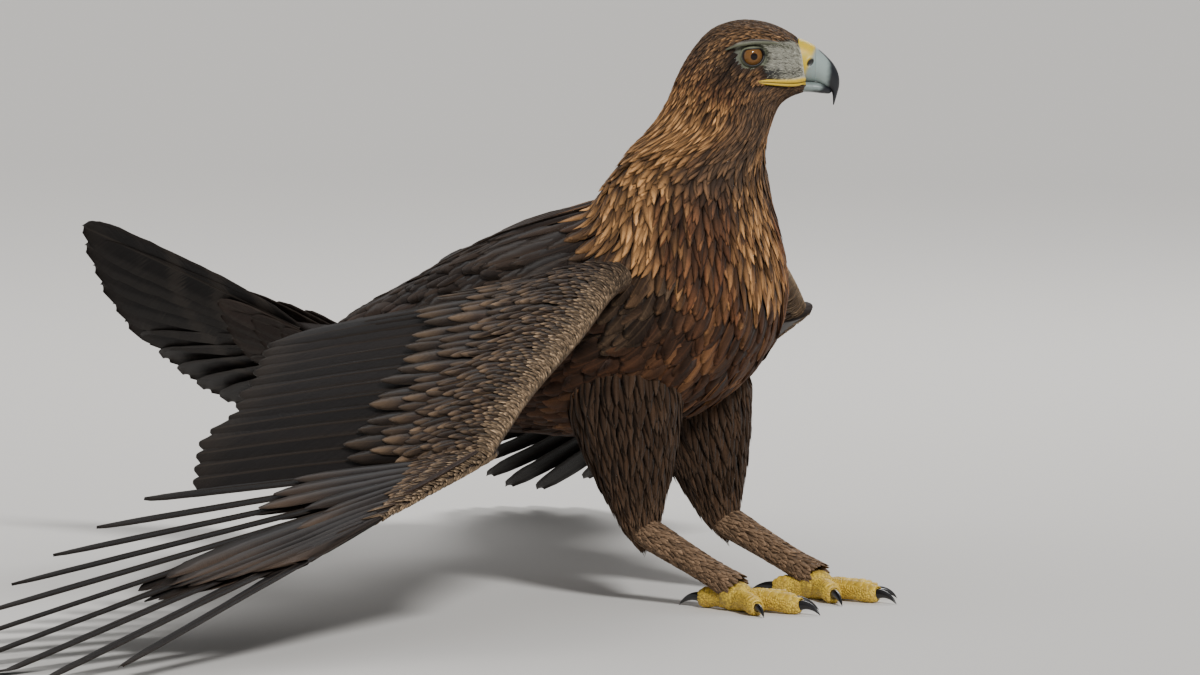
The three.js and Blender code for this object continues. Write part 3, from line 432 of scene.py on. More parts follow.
class Surface:
    """A grid of points to lay feathers on: u runs across it, v the way the feathers lie."""

    def __init__(self, grid, wrap=True, tile=(0.01, 0.01, 0.98, 0.98)):
        self.grid, self.wrap, self.tile = grid, wrap, tile
        self.rows, self.columns = grid.shape[:2]
        du = (np.roll(grid, -1, 1) - np.roll(grid, 1, 1)) / 2 if wrap else np.gradient(grid, axis=1)
        dv = np.gradient(grid, axis=0)
        self.data = np.concatenate([grid, unit(np.cross(du, dv)), du, dv], axis=2)

    def face(self, row, column, way):
        """Turns every normal round if the one at this place looks against the given way."""
        if np.dot(self.data[row, column, 3:6], way) < 0:
            self.data[..., 3:6] *= -1
        return self

    def sample(self, u, v):
        """Point, normal and both steps at places given in grid units; past an edge it runs on straight."""
        u, v = np.asarray(u, float), np.asarray(v, float)
        row, column = np.clip(np.floor(v).astype(int), 0, self.rows - 2), np.floor(u).astype(int)
        if not self.wrap:
            column = np.clip(column, 0, self.columns - 2)
        down, over = (v - row)[..., None], (u - column)[..., None]
        left, right = column % self.columns, (column + 1) % self.columns
        near, far = (self.data[r, left] * (1 - over) + self.data[r, right] * over for r in (row, row + 1))
        value = near * (1 - down) + far * down
        return value[..., :3], unit(value[..., 3:6]), value[..., 6:9], value[..., 9:12]

    def scatter(self, spacing, rng, keep=lambda u, v, points: np.ones(np.shape(u))):
        """Even but irregular places; spacing, in millimetres, and keep are worked out from (u, v, points)."""
        across = (np.roll(self.grid, -1, 1) - self.grid if self.wrap else np.diff(self.grid, axis=1))[:-1]
        rows, columns = across.shape[:2]
        corner = self.grid[:-1, :columns]
        area = np.linalg.norm(np.cross(across, self.grid[1:, :columns] - corner), axis=2)
        uu, vv = np.meshgrid(np.arange(columns) + 0.5, np.arange(rows) + 0.5)
        expected = area / spacing(uu, vv, corner) ** 2 * CROWD * (keep(uu, vv, corner) > 0)
        count = rng.poisson(expected).ravel()
        u, v = np.repeat(uu.ravel() - 0.5, count), np.repeat(vv.ravel() - 0.5, count)
        u, v = u + rng.random(len(u)), v + rng.random(len(v))
        order = rng.permutation(len(u))
        u, v = u[order], v[order]
        points = self.sample(u, v)[0]
        inside = keep(u, v, points) > 0
        u, v, points = u[inside], v[inside], points[inside]
        near = spacing(u, v, points) * 0.86
        tree = point_tree(points)
        taken, chosen = np.zeros(len(points), bool), []
        for i, point in enumerate(points):
            if not taken[i]:
                chosen.append(i)
                for _, j, _ in tree.find_range(point, near[i]):
                    taken[j] = True
        return u[chosen], v[chosen]


def vane_map(columns, share):
    """Places on a vane: its trailing side 0 and its leading side 1, its root 0 and its tip 1."""
    return np.stack(np.broadcast_arrays((columns + 1) / 2, share), axis=-1)


class Coat:
    """Gathers many solid vanes and makes one mesh of them."""

    def __init__(self):
        self.count, self.parts = 0, {}

    def add(self, quads, triangles, points, home, vane, base, edge, rng, barb):
        """Takes (n, m, ...) arrays for n vanes of m points and the faces of one vane."""
        n, m = points.shape[:2]
        start = (self.count + np.arange(n) * m)[:, None, None]
        self.count += n * m
        data = {
            "points": points, "Vane": vane, "OFBake": np.reshape(home, (-1, 1, 2)) + (vane - 0.5) * BAKE_PATCH,
            "Plumage": np.reshape(base, (-1, 1, 3)), "Edge": np.reshape(edge, (-1, 1, 3)),
            "Chance": rng.random((n, 1, 1)), "Barb": barb.reshape(n, m, 1),
        }
        rows = {key: np.broadcast_to(values, (n, m, values.shape[-1])) for key, values in data.items()}
        rows.update(quads=quads + start, triangles=triangles + start)
        for key, values in rows.items():
            self.parts.setdefault(key, []).append(values.reshape(-1, values.shape[-1]))

    def lay(self, surface, u, v, length, width, base, edge, rng, outline=ROUND, heading=None, root=-2.0, tip=1.5,
            camber=0.1, tilt=0.1, stray=0.1, ragged=0.07, lean=0.0):
        """Lays vanes on a surface: each follows its curve and rises from `root` to `tip` above it."""
        n = len(u)
        length, width, root, tip = (np.broadcast_to(size, n)[:, None, None] for size in (length, width, root, tip))
        share, wide = (np.array(values)[:, None] for values in outline)
        _, normal, du, dv = surface.sample(u, v)
        way = lie_flat(unit(dv) if heading is None else heading, normal)
        turn = rng.normal(0, stray, (n, 1)) + lean
        way = unit(way * np.cos(turn) + np.cross(way, normal) * np.sin(turn))
        uu, uv, vv = ((a * b).sum(1) for a, b in ((du, du), (du, dv), (dv, dv)))
        scale = np.maximum(uu * vv - uv * uv, 1e-9)

        def steps(vector):
            """A step along the vector in grid units, across and down."""
            a, b = (du * vector).sum(1), (dv * vector).sum(1)
            return ((a * vv - b * uv) / scale)[:, None, None], ((b * uu - a * uv) / scale)[:, None, None]

        columns, rows = np.array([-1, 0, 1]), len(share)
        reach = length * share
        off = width * 0.5 * wide * columns * (1 + rng.normal(0, ragged, (n, rows, 3)))
        place, out, _, _ = surface.sample(*(
            at[:, None, None] + along * reach + across * off
            for at, along, across in zip((u, v), steps(way), steps(np.cross(way, normal)))
        ))
        height = mix(root, tip, share ** 0.8) + width * camber * wide * (1 - np.abs(columns))
        height = height + rng.normal(0, tilt, (n, 1, 1)) * off
        points = (place + out * height[..., None]).reshape(n, rows * 3, 3)
        points[..., 2] += np.maximum(0.4 - points[..., 2].min(1), 0)[:, None]
        x, y, w, h = surface.tile
        home = np.stack([x + w * (u / surface.columns % 1), y + h * np.clip(v / surface.rows, 0, 1)], axis=-1)
        caps = np.array([(0, 2, 1), (rows * 3 - 1, rows * 3 - 3, rows * 3 - 2)])
        vane = vane_map(columns, share).reshape(1, -1, 2)
        self.add(ring_quads(rows, 3), caps, points, home, vane, base, edge, rng, reach - np.abs(off) * BARB_SLANT)

    def quill(self, root, along, across, normal, length, width, lead, outline, rng, base, edge, home,
              roll=0.0, droop=0.0, camber=0.05, shaft=2.6, rows=24):
        """One large feather with a raised shaft; across points to its leading side."""
        t = np.concatenate([np.linspace(0, 0.86, rows - 7), np.linspace(0.89, 1, 7)])[:, None]
        columns = np.array([-1, -0.6, -0.25, 0, 0.25, 0.6, 1])
        share, leading, trailing = np.array(outline, float).T
        notch = 1 - np.abs(rng.normal(0, 0.03, (rows, 2)))
        front = np.interp(t, share, leading) * width * lead * notch[:, :1]
        behind = np.interp(t, share, trailing) * width * (1 - lead) * notch[:, 1:]
        along = unit(along)
        across = lie_flat(across, along)
        flat = np.cross(along, across)
        if np.dot(flat, normal) < 0:
            flat = -flat
        side, up = across * cos(roll) + flat * sin(roll), flat * cos(roll) - across * sin(roll)
        centre = root + along * length * t - flat * droop * t ** 2
        offset = np.where(columns > 0, columns * front, columns * behind)
        sag = -camber * width * columns ** 2 * np.minimum(1, t * 4)
        blade = centre[:, None] + side * offset[..., None] + up * sag[..., None]
        blade = blade + along * (np.abs(offset) * 0.22 * (1 - t))[..., None]
        # Where a feather would dip into the floor, the whole row of points rises onto it.
        rise = np.maximum(0.6 + 0.5 * shaft * (1 - t[:, 0]) - blade[..., 2].min(1), 0)
        blade[..., 2] += rise[:, None]
        centre[:, 2] += rise
        half = up * (VANE_THICK / 2 * (1 - 0.5 * np.abs(columns)))[:, None]
        bone = np.maximum(shaft * (1 - t) ** 0.8, 0.35)[..., None]
        stem = centre[:, None] + bone * (side * STEM[:, :1] / 2 + up * STEM[:, 1:] * 0.55)
        # Each row goes round the blade, over its top and back along its underside, and then round the stem.
        rings = len(columns) * 2
        quads = np.concatenate([sleeve_quads(rows, rings), sleeve_quads(rows, 4) + rows * rings])
        if np.dot(np.cross(side, along), up) < 0:
            quads = quads[:, ::-1]

        def gather(top, under, tube):
            width = top.shape[-1]
            around = np.concatenate([top, under[:, ::-1]], axis=1)
            return np.concatenate([around.reshape(-1, width), tube.reshape(-1, width)])[None]

        vane, barb = vane_map(columns, t), (length * t - np.abs(offset) * BARB_SLANT)[..., None]
        vane = gather(vane, vane, vane_map(np.zeros(4), t))
        barb = gather(barb, barb, np.repeat(length * t, 4, axis=1)[..., None])
        points = gather(blade + half, blade - half, stem)
        self.add(quads, np.zeros((0, 3), int), points, home, vane, base, edge, rng, barb)

    def build(self, name, look, slot, replaced=()):
        data = {key: np.concatenate(rows) for key, rows in self.parts.items()}
        points, quads, triangles = (data.pop(key) for key in ("points", "quads", "triangles"))
        finish_piece(make_mesh(name, points, quads, triangles, data), look, replaced)


# Materials. Object coordinates are in metres, so a pattern of so many millimetres has the scale 1000 / size.
MODES = {
    "Math": "operation", "VectorMath": "operation", "Mix": "blend_type", "MapRange": "interpolation_type",
    "Attribute": "attribute_name",
}
COLOUR = {"data_type": "RGBA", "out": 2}


def add(tree, kind, *inputs, out=0, **settings):
    """Adds a node and gives one of its outputs. Its mode or name may follow its kind; its inputs, in order or
    by slot, are values or other nodes' outputs."""
    kind, _, mode = kind.partition(" ")
    made = tree.nodes.new(kind if "Node" in kind else "ShaderNode" + kind)
    if mode:
        settings[MODES[kind]] = mode
    for key, value in settings.items():
        setattr(made, key, value)
    slots = inputs[0] if inputs and isinstance(inputs[0], dict) else dict(enumerate(inputs))
    for slot, value in slots.items():
        socket = made.inputs[slot]
        if isinstance(value, bpy.types.NodeSocket):
            tree.links.new(value, socket)
        else:
            socket.default_value = (*value[:3], 1) if socket.type == "RGBA" else value
    return made.outputs[out] if len(made.outputs) else None


def new_look(name):
    """A new, empty material, as the function that adds nodes to it."""
    look = bpy.data.materials.new(name)
    if look.name != name:
        raise RuntimeError(f"the frame already has a material named {name}")
    look.use_nodes = True
    look.node_tree.nodes.clear()
    return partial(add, look.node_tree)


def end_look(node, base, relief=None, strength=0.0, depth=0.0, **values):
    """Ends a material: its colour, its relief `depth` millimetres deep, and the shader's other inputs by name."""
    inputs = {"Base Color": base, **{label.replace("_", " "): value for label, value in values.items()}}
    if relief is not None:
        inputs["Normal"] = node("Bump", {"Height": relief, "Strength": strength, "Distance": depth / 1000})
    node("OutputMaterial", node("BsdfPrincipled", inputs))


def feather_look(name, edge=0.5, tip=0.0, tip_from=0.4, shaft=0.3, roughness=0.66, sheen=0.04, barb=1.0, gloss=0.12,
                 bars=()):
    """Feather vane: keratin grown as fine barbs off a shaft, so it is matt and streaked along the barbs, worn paler
    at its rim and lighter on the shaft. Barbs are about 0.4 mm apart, too fine to show here, so they are drawn
    `barb` millimetres apart. The tip pales from `tip_from` on, and bars are (how many, their grey, how far)."""
    node = new_look(name)
    plumage, rim = (node("Attribute " + label) for label in ("Plumage", "Edge"))
    chance, run = (node("Attribute " + label, out="Fac") for label in ("Chance", "Barb"))
    side = node("SeparateXYZ", node("UVMap", uv_map="Vane"))
    along = side.node.outputs[1]
    across = node("Math ABSOLUTE", node("Math MULTIPLY_ADD", side, 2, -1))
    barbs = node("Math MULTIPLY", run, 1 / barb)
    lines = node("CombineXYZ", barbs, node("Math MULTIPLY", chance, 37), node("Math MULTIPLY", side, 1.6))
    noise = node("TexNoise", {"Vector": lines, "Scale": 0.9, "Detail": 3, "Roughness": 0.6})
    streak = node("Math MULTIPLY_ADD", node("Math SINE", node("Math MULTIPLY", barbs, 2 * pi)), 0.12, noise)
    rim_share, end_share = node("MapRange SMOOTHSTEP", across, 0.5, 1), node("MapRange SMOOTHSTEP", along, 0.8, 1)
    worn = node("Math MAXIMUM", rim_share, end_share)
    worn = node("Math ADD", worn, node("Math MULTIPLY_ADD", streak, 1.1, -0.55), use_clamp=True)
    worn = node("Math MULTIPLY", worn, edge, use_clamp=True)
    pale = node("MapRange SMOOTHSTEP", along, tip_from, 0.97)
    pale = node("Math ADD", pale, node("Math MULTIPLY_ADD", streak, 0.5, -0.25), use_clamp=True)
    pale = node("Math MULTIPLY", pale, node("Math MULTIPLY_ADD", chance, 1.2, 0.4))
    worn = node("Math MAXIMUM", worn, node("Math MULTIPLY", pale, tip, use_clamp=True))
    base = node("Mix MIX", {0: worn, 6: plumage, 7: rim}, **COLOUR)
    if bars:
        count, grey, until = bars
        wave = node("Math MULTIPLY_ADD", along, count * 2 * pi, node("Math MULTIPLY", noise, 5))
        band = node("MapRange SMOOTHSTEP", node("Math SINE", wave), 0, 0.8)
        band = node("Math MULTIPLY", band, node("MapRange SMOOTHSTEP", along, until, until - 0.12))
        base = node("Mix MIX", {0: node("Math MULTIPLY", band, 0.6), 6: base, 7: grey}, **COLOUR)
    tone = node("Math MULTIPLY_ADD", chance, 0.5, 0.75)
    tone = node("Math MULTIPLY", tone, node("Math MULTIPLY_ADD", streak, 0.7, 0.65))
    base = node("Mix MULTIPLY", {0: 1, 6: base, 7: tone}, **COLOUR)
    line = node("Math MULTIPLY", node("MapRange SMOOTHSTEP", across, 0.1, 0.03), shaft)
    base = node("Mix MIX", {0: line, 6: base, 7: rim}, **COLOUR)
    end_look(node, base, streak, 0.6, 0.5, Roughness=roughness, Specular_IOR_Level=gloss, Sheen_Weight=sheen,
             Sheen_Roughness=0.5)


def make_materials():
    """Every material, from matt plumage to the wet eye."""
    parts, stage = bpy.context.scene.eagle_parts, bpy.context.scene.eagle_stage
    feather_look("contour_feather", edge=0.6, tip=0.25, shaft=0.2)
    feather_look("covert_feather", edge=0.4, tip=0.55, tip_from=0.55, shaft=0.2, barb=0.9)
    feather_look("hackle_feather", edge=0.45, tip=0.7, tip_from=0.35, shaft=0.1, barb=0.55)
    stiff = {"roughness": 0.55, "sheen": 0, "barb": 1.4, "gloss": 0.08}
    feather_look("flight_feather", edge=0.4, shaft=0.5, bars=(3.5, tint("flight_base"), 0.45), **stiff)
    feather_look("tail_feather", edge=0.35, shaft=0.6, bars=(5, tint("tail_bar"), 0.78), **stiff)

    # Bird's skin: thin, dry and dull under the coat, with seams between scales 2.4 mm across on the toes and a grain
    # drawn at 1.1 mm.
    node = new_look("bird_skin")
    spot = node("TexCoord", out="Object")
    cells = node("TexVoronoi", {"Vector": spot, "Scale": 1000 / 2.381}, out="Distance")
    grain = node("TexNoise", {"Vector": spot, "Scale": 1000 / 1.111, "Detail": 3})
    seam = node("Math MULTIPLY", node("MapRange SMOOTHSTEP", cells, 0.35, 0.7), node("Attribute Scaly", out="Fac"))
    base = {0: node("Math MULTIPLY", seam, 0.6), 6: node("Attribute Plumage"), 7: linear("6f5527")}
    base = {0: 1, 6: node("Mix MIX", base, **COLOUR), 7: node("MapRange LINEAR", grain, 0.3, 0.7, 0.8, 1.15)}
    height = node("Math ADD", node("Math MULTIPLY", seam, -1), node("Math MULTIPLY", grain, 0.3))
    end_look(node, node("Mix MULTIPLY", base, **COLOUR), height, 0.5, 0.5, Roughness=0.55)

    # Toe scales: dry horny plates, half matt, a little darker and browner in patches 8 mm across.
    node = new_look("toe_scales")
    patch = node("TexNoise", {"Vector": node("TexCoord", out="Object"), "Scale": 1000 / 8.333, "Detail": 4})
    toe = np.array(parts.toe)
    base = {0: node("MapRange SMOOTHSTEP", patch, 0.35, 0.7), 6: toe * (0.72, 0.66, 0.7), 7: toe * 1.05}
    end_look(node, node("Mix MIX", base, **COLOUR), Roughness=0.5)

    # Cere: soft waxy skin that lets a little light in, uneven at 4 mm with pores drawn at 0.7 mm; it turns to the
    # bill's grey at its front, and a painted shade makes it near black inside the nostril.
    node = new_look("cere_wax")
    spot, cere = node("TexCoord", out="Object"), np.array(parts.cere)
    patch = node("TexNoise", {"Vector": spot, "Scale": 1000 / 3.846, "Detail": 4})
    pores = node("TexNoise", {"Vector": spot, "Scale": 1000 / 0.7143, "Detail": 2})
    base = {0: node("MapRange SMOOTHSTEP", patch, 0.35, 0.7), 6: cere, 7: cere * (0.85, 0.95, 1.2)}
    base = {0: node("Attribute Grey", out="Fac"), 6: node("Mix MIX", base, **COLOUR), 7: np.array(parts.horn) * 0.9}
    # Painted shade: the inside of each nostril is coloured near black.
    base = {0: node("Attribute Dark", out="Fac"), 6: node("Mix MIX", base, **COLOUR), 7: linear("17130d")}
    end_look(node, node("Mix MIX", base, **COLOUR), pores, 0.25, 0.4, Roughness=0.42, Subsurface_Weight=0.12,
             Subsurface_Scale=0.002)

    # Bill horn: keratin grown in thin layers and worn smooth, with a soft shine; its growth clouds it at 4.5 mm.
    node = new_look("bill_keratin")
    cloud = node("TexNoise", {"Vector": node("TexCoord", out="Object"), "Scale": 1000 / 4.545, "Detail": 5})
    shade = node("Math MULTIPLY_ADD", cloud, 0.3, -0.15)
    shade = node("Math ADD", node("Attribute Shade", out="Fac"), shade, use_clamp=True)
    base = {0: node("MapRange SMOOTHSTEP", shade, 0.05, 0.75), 6: parts.horn, 7: parts.horn_tip}
    end_look(node, node("Mix MIX", base, **COLOUR), cloud, 0.12, 0.4, Roughness=0.3)

    # Claw horn: black keratin polished by use, clouded at 3.3 mm.
    node = new_look("claw_keratin")
    cloud = node("TexNoise", {"Vector": node("TexCoord", out="Object"), "Scale": 1000 / 3.333, "Detail": 4})
    base = {0: cloud, 6: np.array(parts.claw) * 0.8, 7: np.array(parts.claw) * 2.2}
    end_look(node, node("Mix MIX", base, **COLOUR), Roughness=0.28)

    # Eye: a wet clear surface over an amber iris with fine rays; a black pupil, a dark rim and dark flesh beyond.
    node = new_look("eye_wet")
    out = node("Attribute Out", out="Fac")
    rays = (node("Math MULTIPLY", node("Attribute " + label, out="Fac"), 9) for label in ("Sine", "Cosine"))
    rays = node("TexNoise", {"Vector": node("CombineXYZ", *rays, node("Math MULTIPLY", out, 0.06)), "Scale": 1,
                             "Detail": 4})
    iris = np.array(parts.iris)
    base = node("Mix MIX", {0: rays, 6: iris * 0.5, 7: iris * 1.5}, **COLOUR)
    for low, high, first, last, tone in (
        (40, 50, 0, 1, iris * 0.12), (14.5, 16.5, 1, 0, linear("120d0d")), (50, 53, 0, 1, linear("161414")),
    ):
        share = node("MapRange SMOOTHSTEP", out, low, high, first, last)
        base = node("Mix MIX", {0: share, 6: base, 7: tone}, **COLOUR)
    end_look(node, base, Roughness=0.5, Specular_IOR_Level=0, Coat_Weight=0.8, Coat_IOR=1.38, Coat_Roughness=0.03)

    # Floor: board painted with a matt emulsion, with no pattern of its own.
    end_look(new_look("studio_board"), stage.floor, Roughness=0.9)


def tint(name):
    """One of the plumage's colours."""
    return np.array(getattr(bpy.context.scene.eagle_plumage, name))


# The body: head, neck and torso are one surface whose v runs from the face to the rump.
BODY_COLUMNS = 144
BODY_STEPS = np.concatenate([
    np.linspace(len(BODY) - 1, 13, 130, endpoint=False), np.linspace(13, 8, 70, endpoint=False),
    np.linspace(8, 0, 110),
])


def body_place(u, v):
    """Section number and angle from the back at grid places of the body."""
    return np.interp(v, np.arange(len(BODY_STEPS)), BODY_STEPS), np.abs((u / BODY_COLUMNS * 360 + 180) % 360 - 180)


def body_surface(grow=0.0):
    return Surface(twist(section_grid(BODY, BODY_STEPS, BODY_COLUMNS, grow)))


def toward(pair, base, edge, share, edge_share=None):
    """Moves a base and an edge colour towards two named ones."""
    return blend(pair[0], tint(base), share), blend(pair[1], tint(edge), share if edge_share is None else edge_share)


def body_colours(u, v, rng):
    """Base and edge colour of the body's feathers by where they grow."""
    k, angle = body_place(u, v)
    noise = rng.normal(0, 1, len(u))
    rear = ease(k, 2, 4)
    back = ease(angle, mix(60, 96, rear), mix(35, 74, rear))
    pair = toward((tint("breast"), tint("rust")), "belly", "leg", ease(k, 5.5, 3.5) * (1 - back))
    pair = toward(pair, "back", "back_edge", back * ease(k, 9.2, 8.2))
    # Golden hackles on the nape and the sides of the neck; the throat stays dark.
    gold = np.maximum(ease(angle, 125, 85), ease(angle, 150, 172) * 0.9)
    gold = ease(k, 8.1, 9.2) * ease(k, 15.2, 13.0) * gold
    pair = toward(pair, "gold", "gold_edge", np.clip(gold + 0.3 * noise * (gold > 0.02), 0, 1))
    throat = ease(k, 10.0, 11.5) * ease(angle, 85, 125) * (1 - ease(angle, 160, 178) * 0.5)
    pair = toward(pair, "throat", "crown_edge", throat, throat * 0.9)
    crown = ease(k, 14.0, 15.8)
    base, edge = toward(pair, "crown", "crown_edge", crown * (1 - throat))

    def stripe(middle, width):
        return np.exp(-((angle - middle) / width) ** 2)

    # A tan band over the brow and tan streaks on the cheek, with a dark stripe behind the eye between them.
    tan = crown * (stripe(48, 13) + 0.8 * stripe(104, 16) * ease(k, 18.5, 16.5))
    edge = blend(edge, tint("gold_edge"), np.clip(tan * (0.25 + 0.22 * noise), 0, 0.7))
    dark = crown * stripe(74, 11) * ease(k, 19, 17.5)
    base, edge = base * (1 - 0.45 * dark)[:, None], edge * (1 - 0.6 * dark)[:, None]
    patch = np.clip(0.15 + 0.5 * noise, 0, 1) * ease(angle, 115, 150) * ease(k, 10.5, 9.0) * ease(k, 3.5, 5.5)
    base, edge = toward((base, edge), "rust", "gold_edge", patch * 0.5)
    # Over the shoulder the body's feathers run into the wing's coverts and take their colours.
    x, y, z = body_surface().sample(u, v)[0].T
    off = np.stack([(x + 84) * 0.85, np.abs(y) - 74, z - 283], axis=1)
    shoulder = ease(np.linalg.norm(off, axis=1) + 5 * noise, 50, 32)
    base, edge = blend(base, tint("covert"), shoulder), blend(edge, tint("covert_edge") * 0.8, shoulder)
    return base * np.exp(0.12 * noise)[:, None], edge * np.exp(0.1 * rng.normal(0, 1, len(u)))[:, None]


def eye_axis(sign):
    flat = cos(EYE["down"])
    return np.array([sin(EYE["forward"]) * flat, sign * cos(EYE["forward"]) * flat, -sin(EYE["down"])])


def eye_gap(points):
    """Distance from the nearer eye's axis, in the plane of its lids, stretched along the brow."""
    best = np.full(points.shape[:-1], FAR)
    for _, sign in SIDES:
        off = facing_forward(points) - eye_centre(sign)
        near = (off * eye_axis(sign)).sum(-1)
        distance = np.linalg.norm((off - near[..., None] * eye_axis(sign)) * (0.8, 1, 1), axis=-1)
        best = np.minimum(best, np.where(near > 0, distance, FAR))
    return best


def bare_face(points):
    """1 on the sparse grey face between the eye and the cere, 0 elsewhere."""
    x, y, z = np.moveaxis(facing_forward(points), -1, 0)
    back = -7 + 0.035 * (z - 474) ** 2
    lore = ease(x, back - 5, back + 3) * ease(z, 454, 458)
    brow = ease(x, -36, -31) * ease(z, 482, 484)
    return np.maximum(lore, brow) * ease(z, 494, 489) * ease(np.abs(y), 9, 14)


def gape_gap(points):
    """Distance from the line of the mouth's corner, seen from the side."""
    ahead = facing_forward(points)
    line = spline([(x, 0, z) for x, z in GAPE], np.linspace(0, 1, 30))
    gap = np.linalg.norm(ahead[..., None, [0, 2]] - line[:, [0, 2]], axis=-1).min(-1)
    return np.where(np.abs(ahead[..., 1]) > 6, gap, FAR)


def face_line(side_points, sign, proud):
    """Points given as (x, z) put on the face's own surface, `proud` of it."""
    grid = shape_head(section_grid(BODY, np.linspace(21, 14, 160), 240, -1.0))
    cloud = grid[grid[..., 1] * sign > 0]
    tree = point_tree(cloud * (1, 0, 1))
    out = []
    for x, z in side_points:
        reach = max(abs(cloud[i][1]) for _, i, _ in tree.find_n((x, 0, z), 6))
        out.append((x, sign * (reach + proud), z))
    return out


def coat_gap():
    """What the coat's density makes of the distance between small feathers."""
    return 1 / sqrt(bpy.context.scene.eagle_coat.density)


def build_body_coat():
    """The small feathers of the head, neck and torso, by section number along the body."""
    rng = np.random.default_rng(5)
    surface, crowding = body_surface(), coat_gap()
    stations = [0, 2, 4, 6, 8, 9, 10, 11, 12, 13, 14, 15, 16, 17, 19, 20, 21]
    back_lengths = [44, 48, 50, 50, 46, 42, 38, 33, 28, 23, 18, 14.5, 12, 10, 8, 6.5, 5]
    front_lengths = [40, 44, 48, 48, 44, 40, 34, 28, 22, 17, 14, 11.5, 9.5, 8, 6, 5, 4.2]

    def length_at(u, v):
        k, angle = body_place(u, v)
        lengths = (np.interp(k, stations, values) for values in (back_lengths, front_lengths))
        return mix(*lengths, ease(angle, 70, 130))

    def spacing(u, v, points):
        share = np.interp(body_place(u, v)[0], [0, 8, 10, 13, 16, 21], [0.22, 0.205, 0.155, 0.155, 0.18, 0.22])
        return length_at(u, v) * share * crowding

    for name, low, high, outline, look, slot in (
        ("coat_head", 12.6, 21.2, SHORT_LANCE, "hackle_feather", "feather_crown"),
        ("coat_neck", 8.6, 12.6, LANCE, "hackle_feather", "feather_gold"),
        ("coat_torso", -1, 8.6, ROUND, "contour_feather", "feather_body"),
    ):
        def keep(u, v, points):
            k, _ = body_place(u, v)
            inside = (k >= low) & (k < high)
            if name == "coat_head":
                inside &= (eye_gap(points) > 9.8) & (bare_face(points) < 0.5) & (gape_gap(points) > 2.6)
            return inside

        u, v = surface.scatter(spacing, rng, keep)
        k, n = body_place(u, v)[0], len(u)
        length = length_at(u, v) * rng.normal(1, 0.08, n)
        slim = np.interp(k, [0, 7.6, 9, 13, 15, 21], [0.44, 0.4, 0.23, 0.21, 0.24, 0.31])
        base, edge = body_colours(u, v, rng)
        lift = np.interp(k, [0, 8, 13, 16, 21], [0.6, 1.0, 0.7, 0.1, 0.0])
        sink = np.interp(k, [0, 8, 13, 16, 21], [-5, -5, -3, -1.6, -1.0])
        coat = Coat()
        coat.lay(surface, u, v, length, length * slim, base, edge, rng, outline, root=sink,
                 tip=lift * rng.uniform(0.4, 1.6, n), stray=0.12, tilt=0.16, ragged=0.1)
        coat.build(name, look, slot)


def build_lores():
    """Sparse hair-like feathers over the grey skin before the eye."""
    rng = np.random.default_rng(9)
    surface = body_surface()

    def keep(u, v, points):
        x, _, z = np.moveaxis(facing_forward(points), -1, 0)
        lore = (bare_face(points) > 0.35) & (x > -12) & (z < 492)
        return lore & (gape_gap(points) > 3.6) & (eye_gap(points) > 12)

    u, v = surface.scatter(lambda u, v, points: np.ones(np.shape(v)), rng, keep)
    n = len(u)
    x, _, z = facing_forward(surface.sample(u, v)[0]).T
    # Clumps of bristles a few millimetres across lie lighter and darker, and more are dark over the gape.
    clump = np.sin(0.55 * x + 0.8 * z) * np.sin(0.7 * z - 0.45 * x + 1)
    dark = (rng.random(n) < 0.2 + 0.14 * clump + 0.5 * ease(z, 473, 464)).astype(float)
    base = blend(tint("lore") * (rng.uniform(0.7, 1.15, n) * (1 - 0.2 * clump))[:, None], linear("3c3935"), dark)
    coat = Coat()
    coat.lay(surface, u, v, rng.uniform(2.5, 5, n), rng.uniform(0.24, 0.42, n), base, base, rng, SHORT,
             root=-0.6, tip=rng.uniform(-0.1, 0.6, n), stray=0.4, camber=0.3)
    coat.build("lore_bristles", "hackle_feather", "feather_crown")


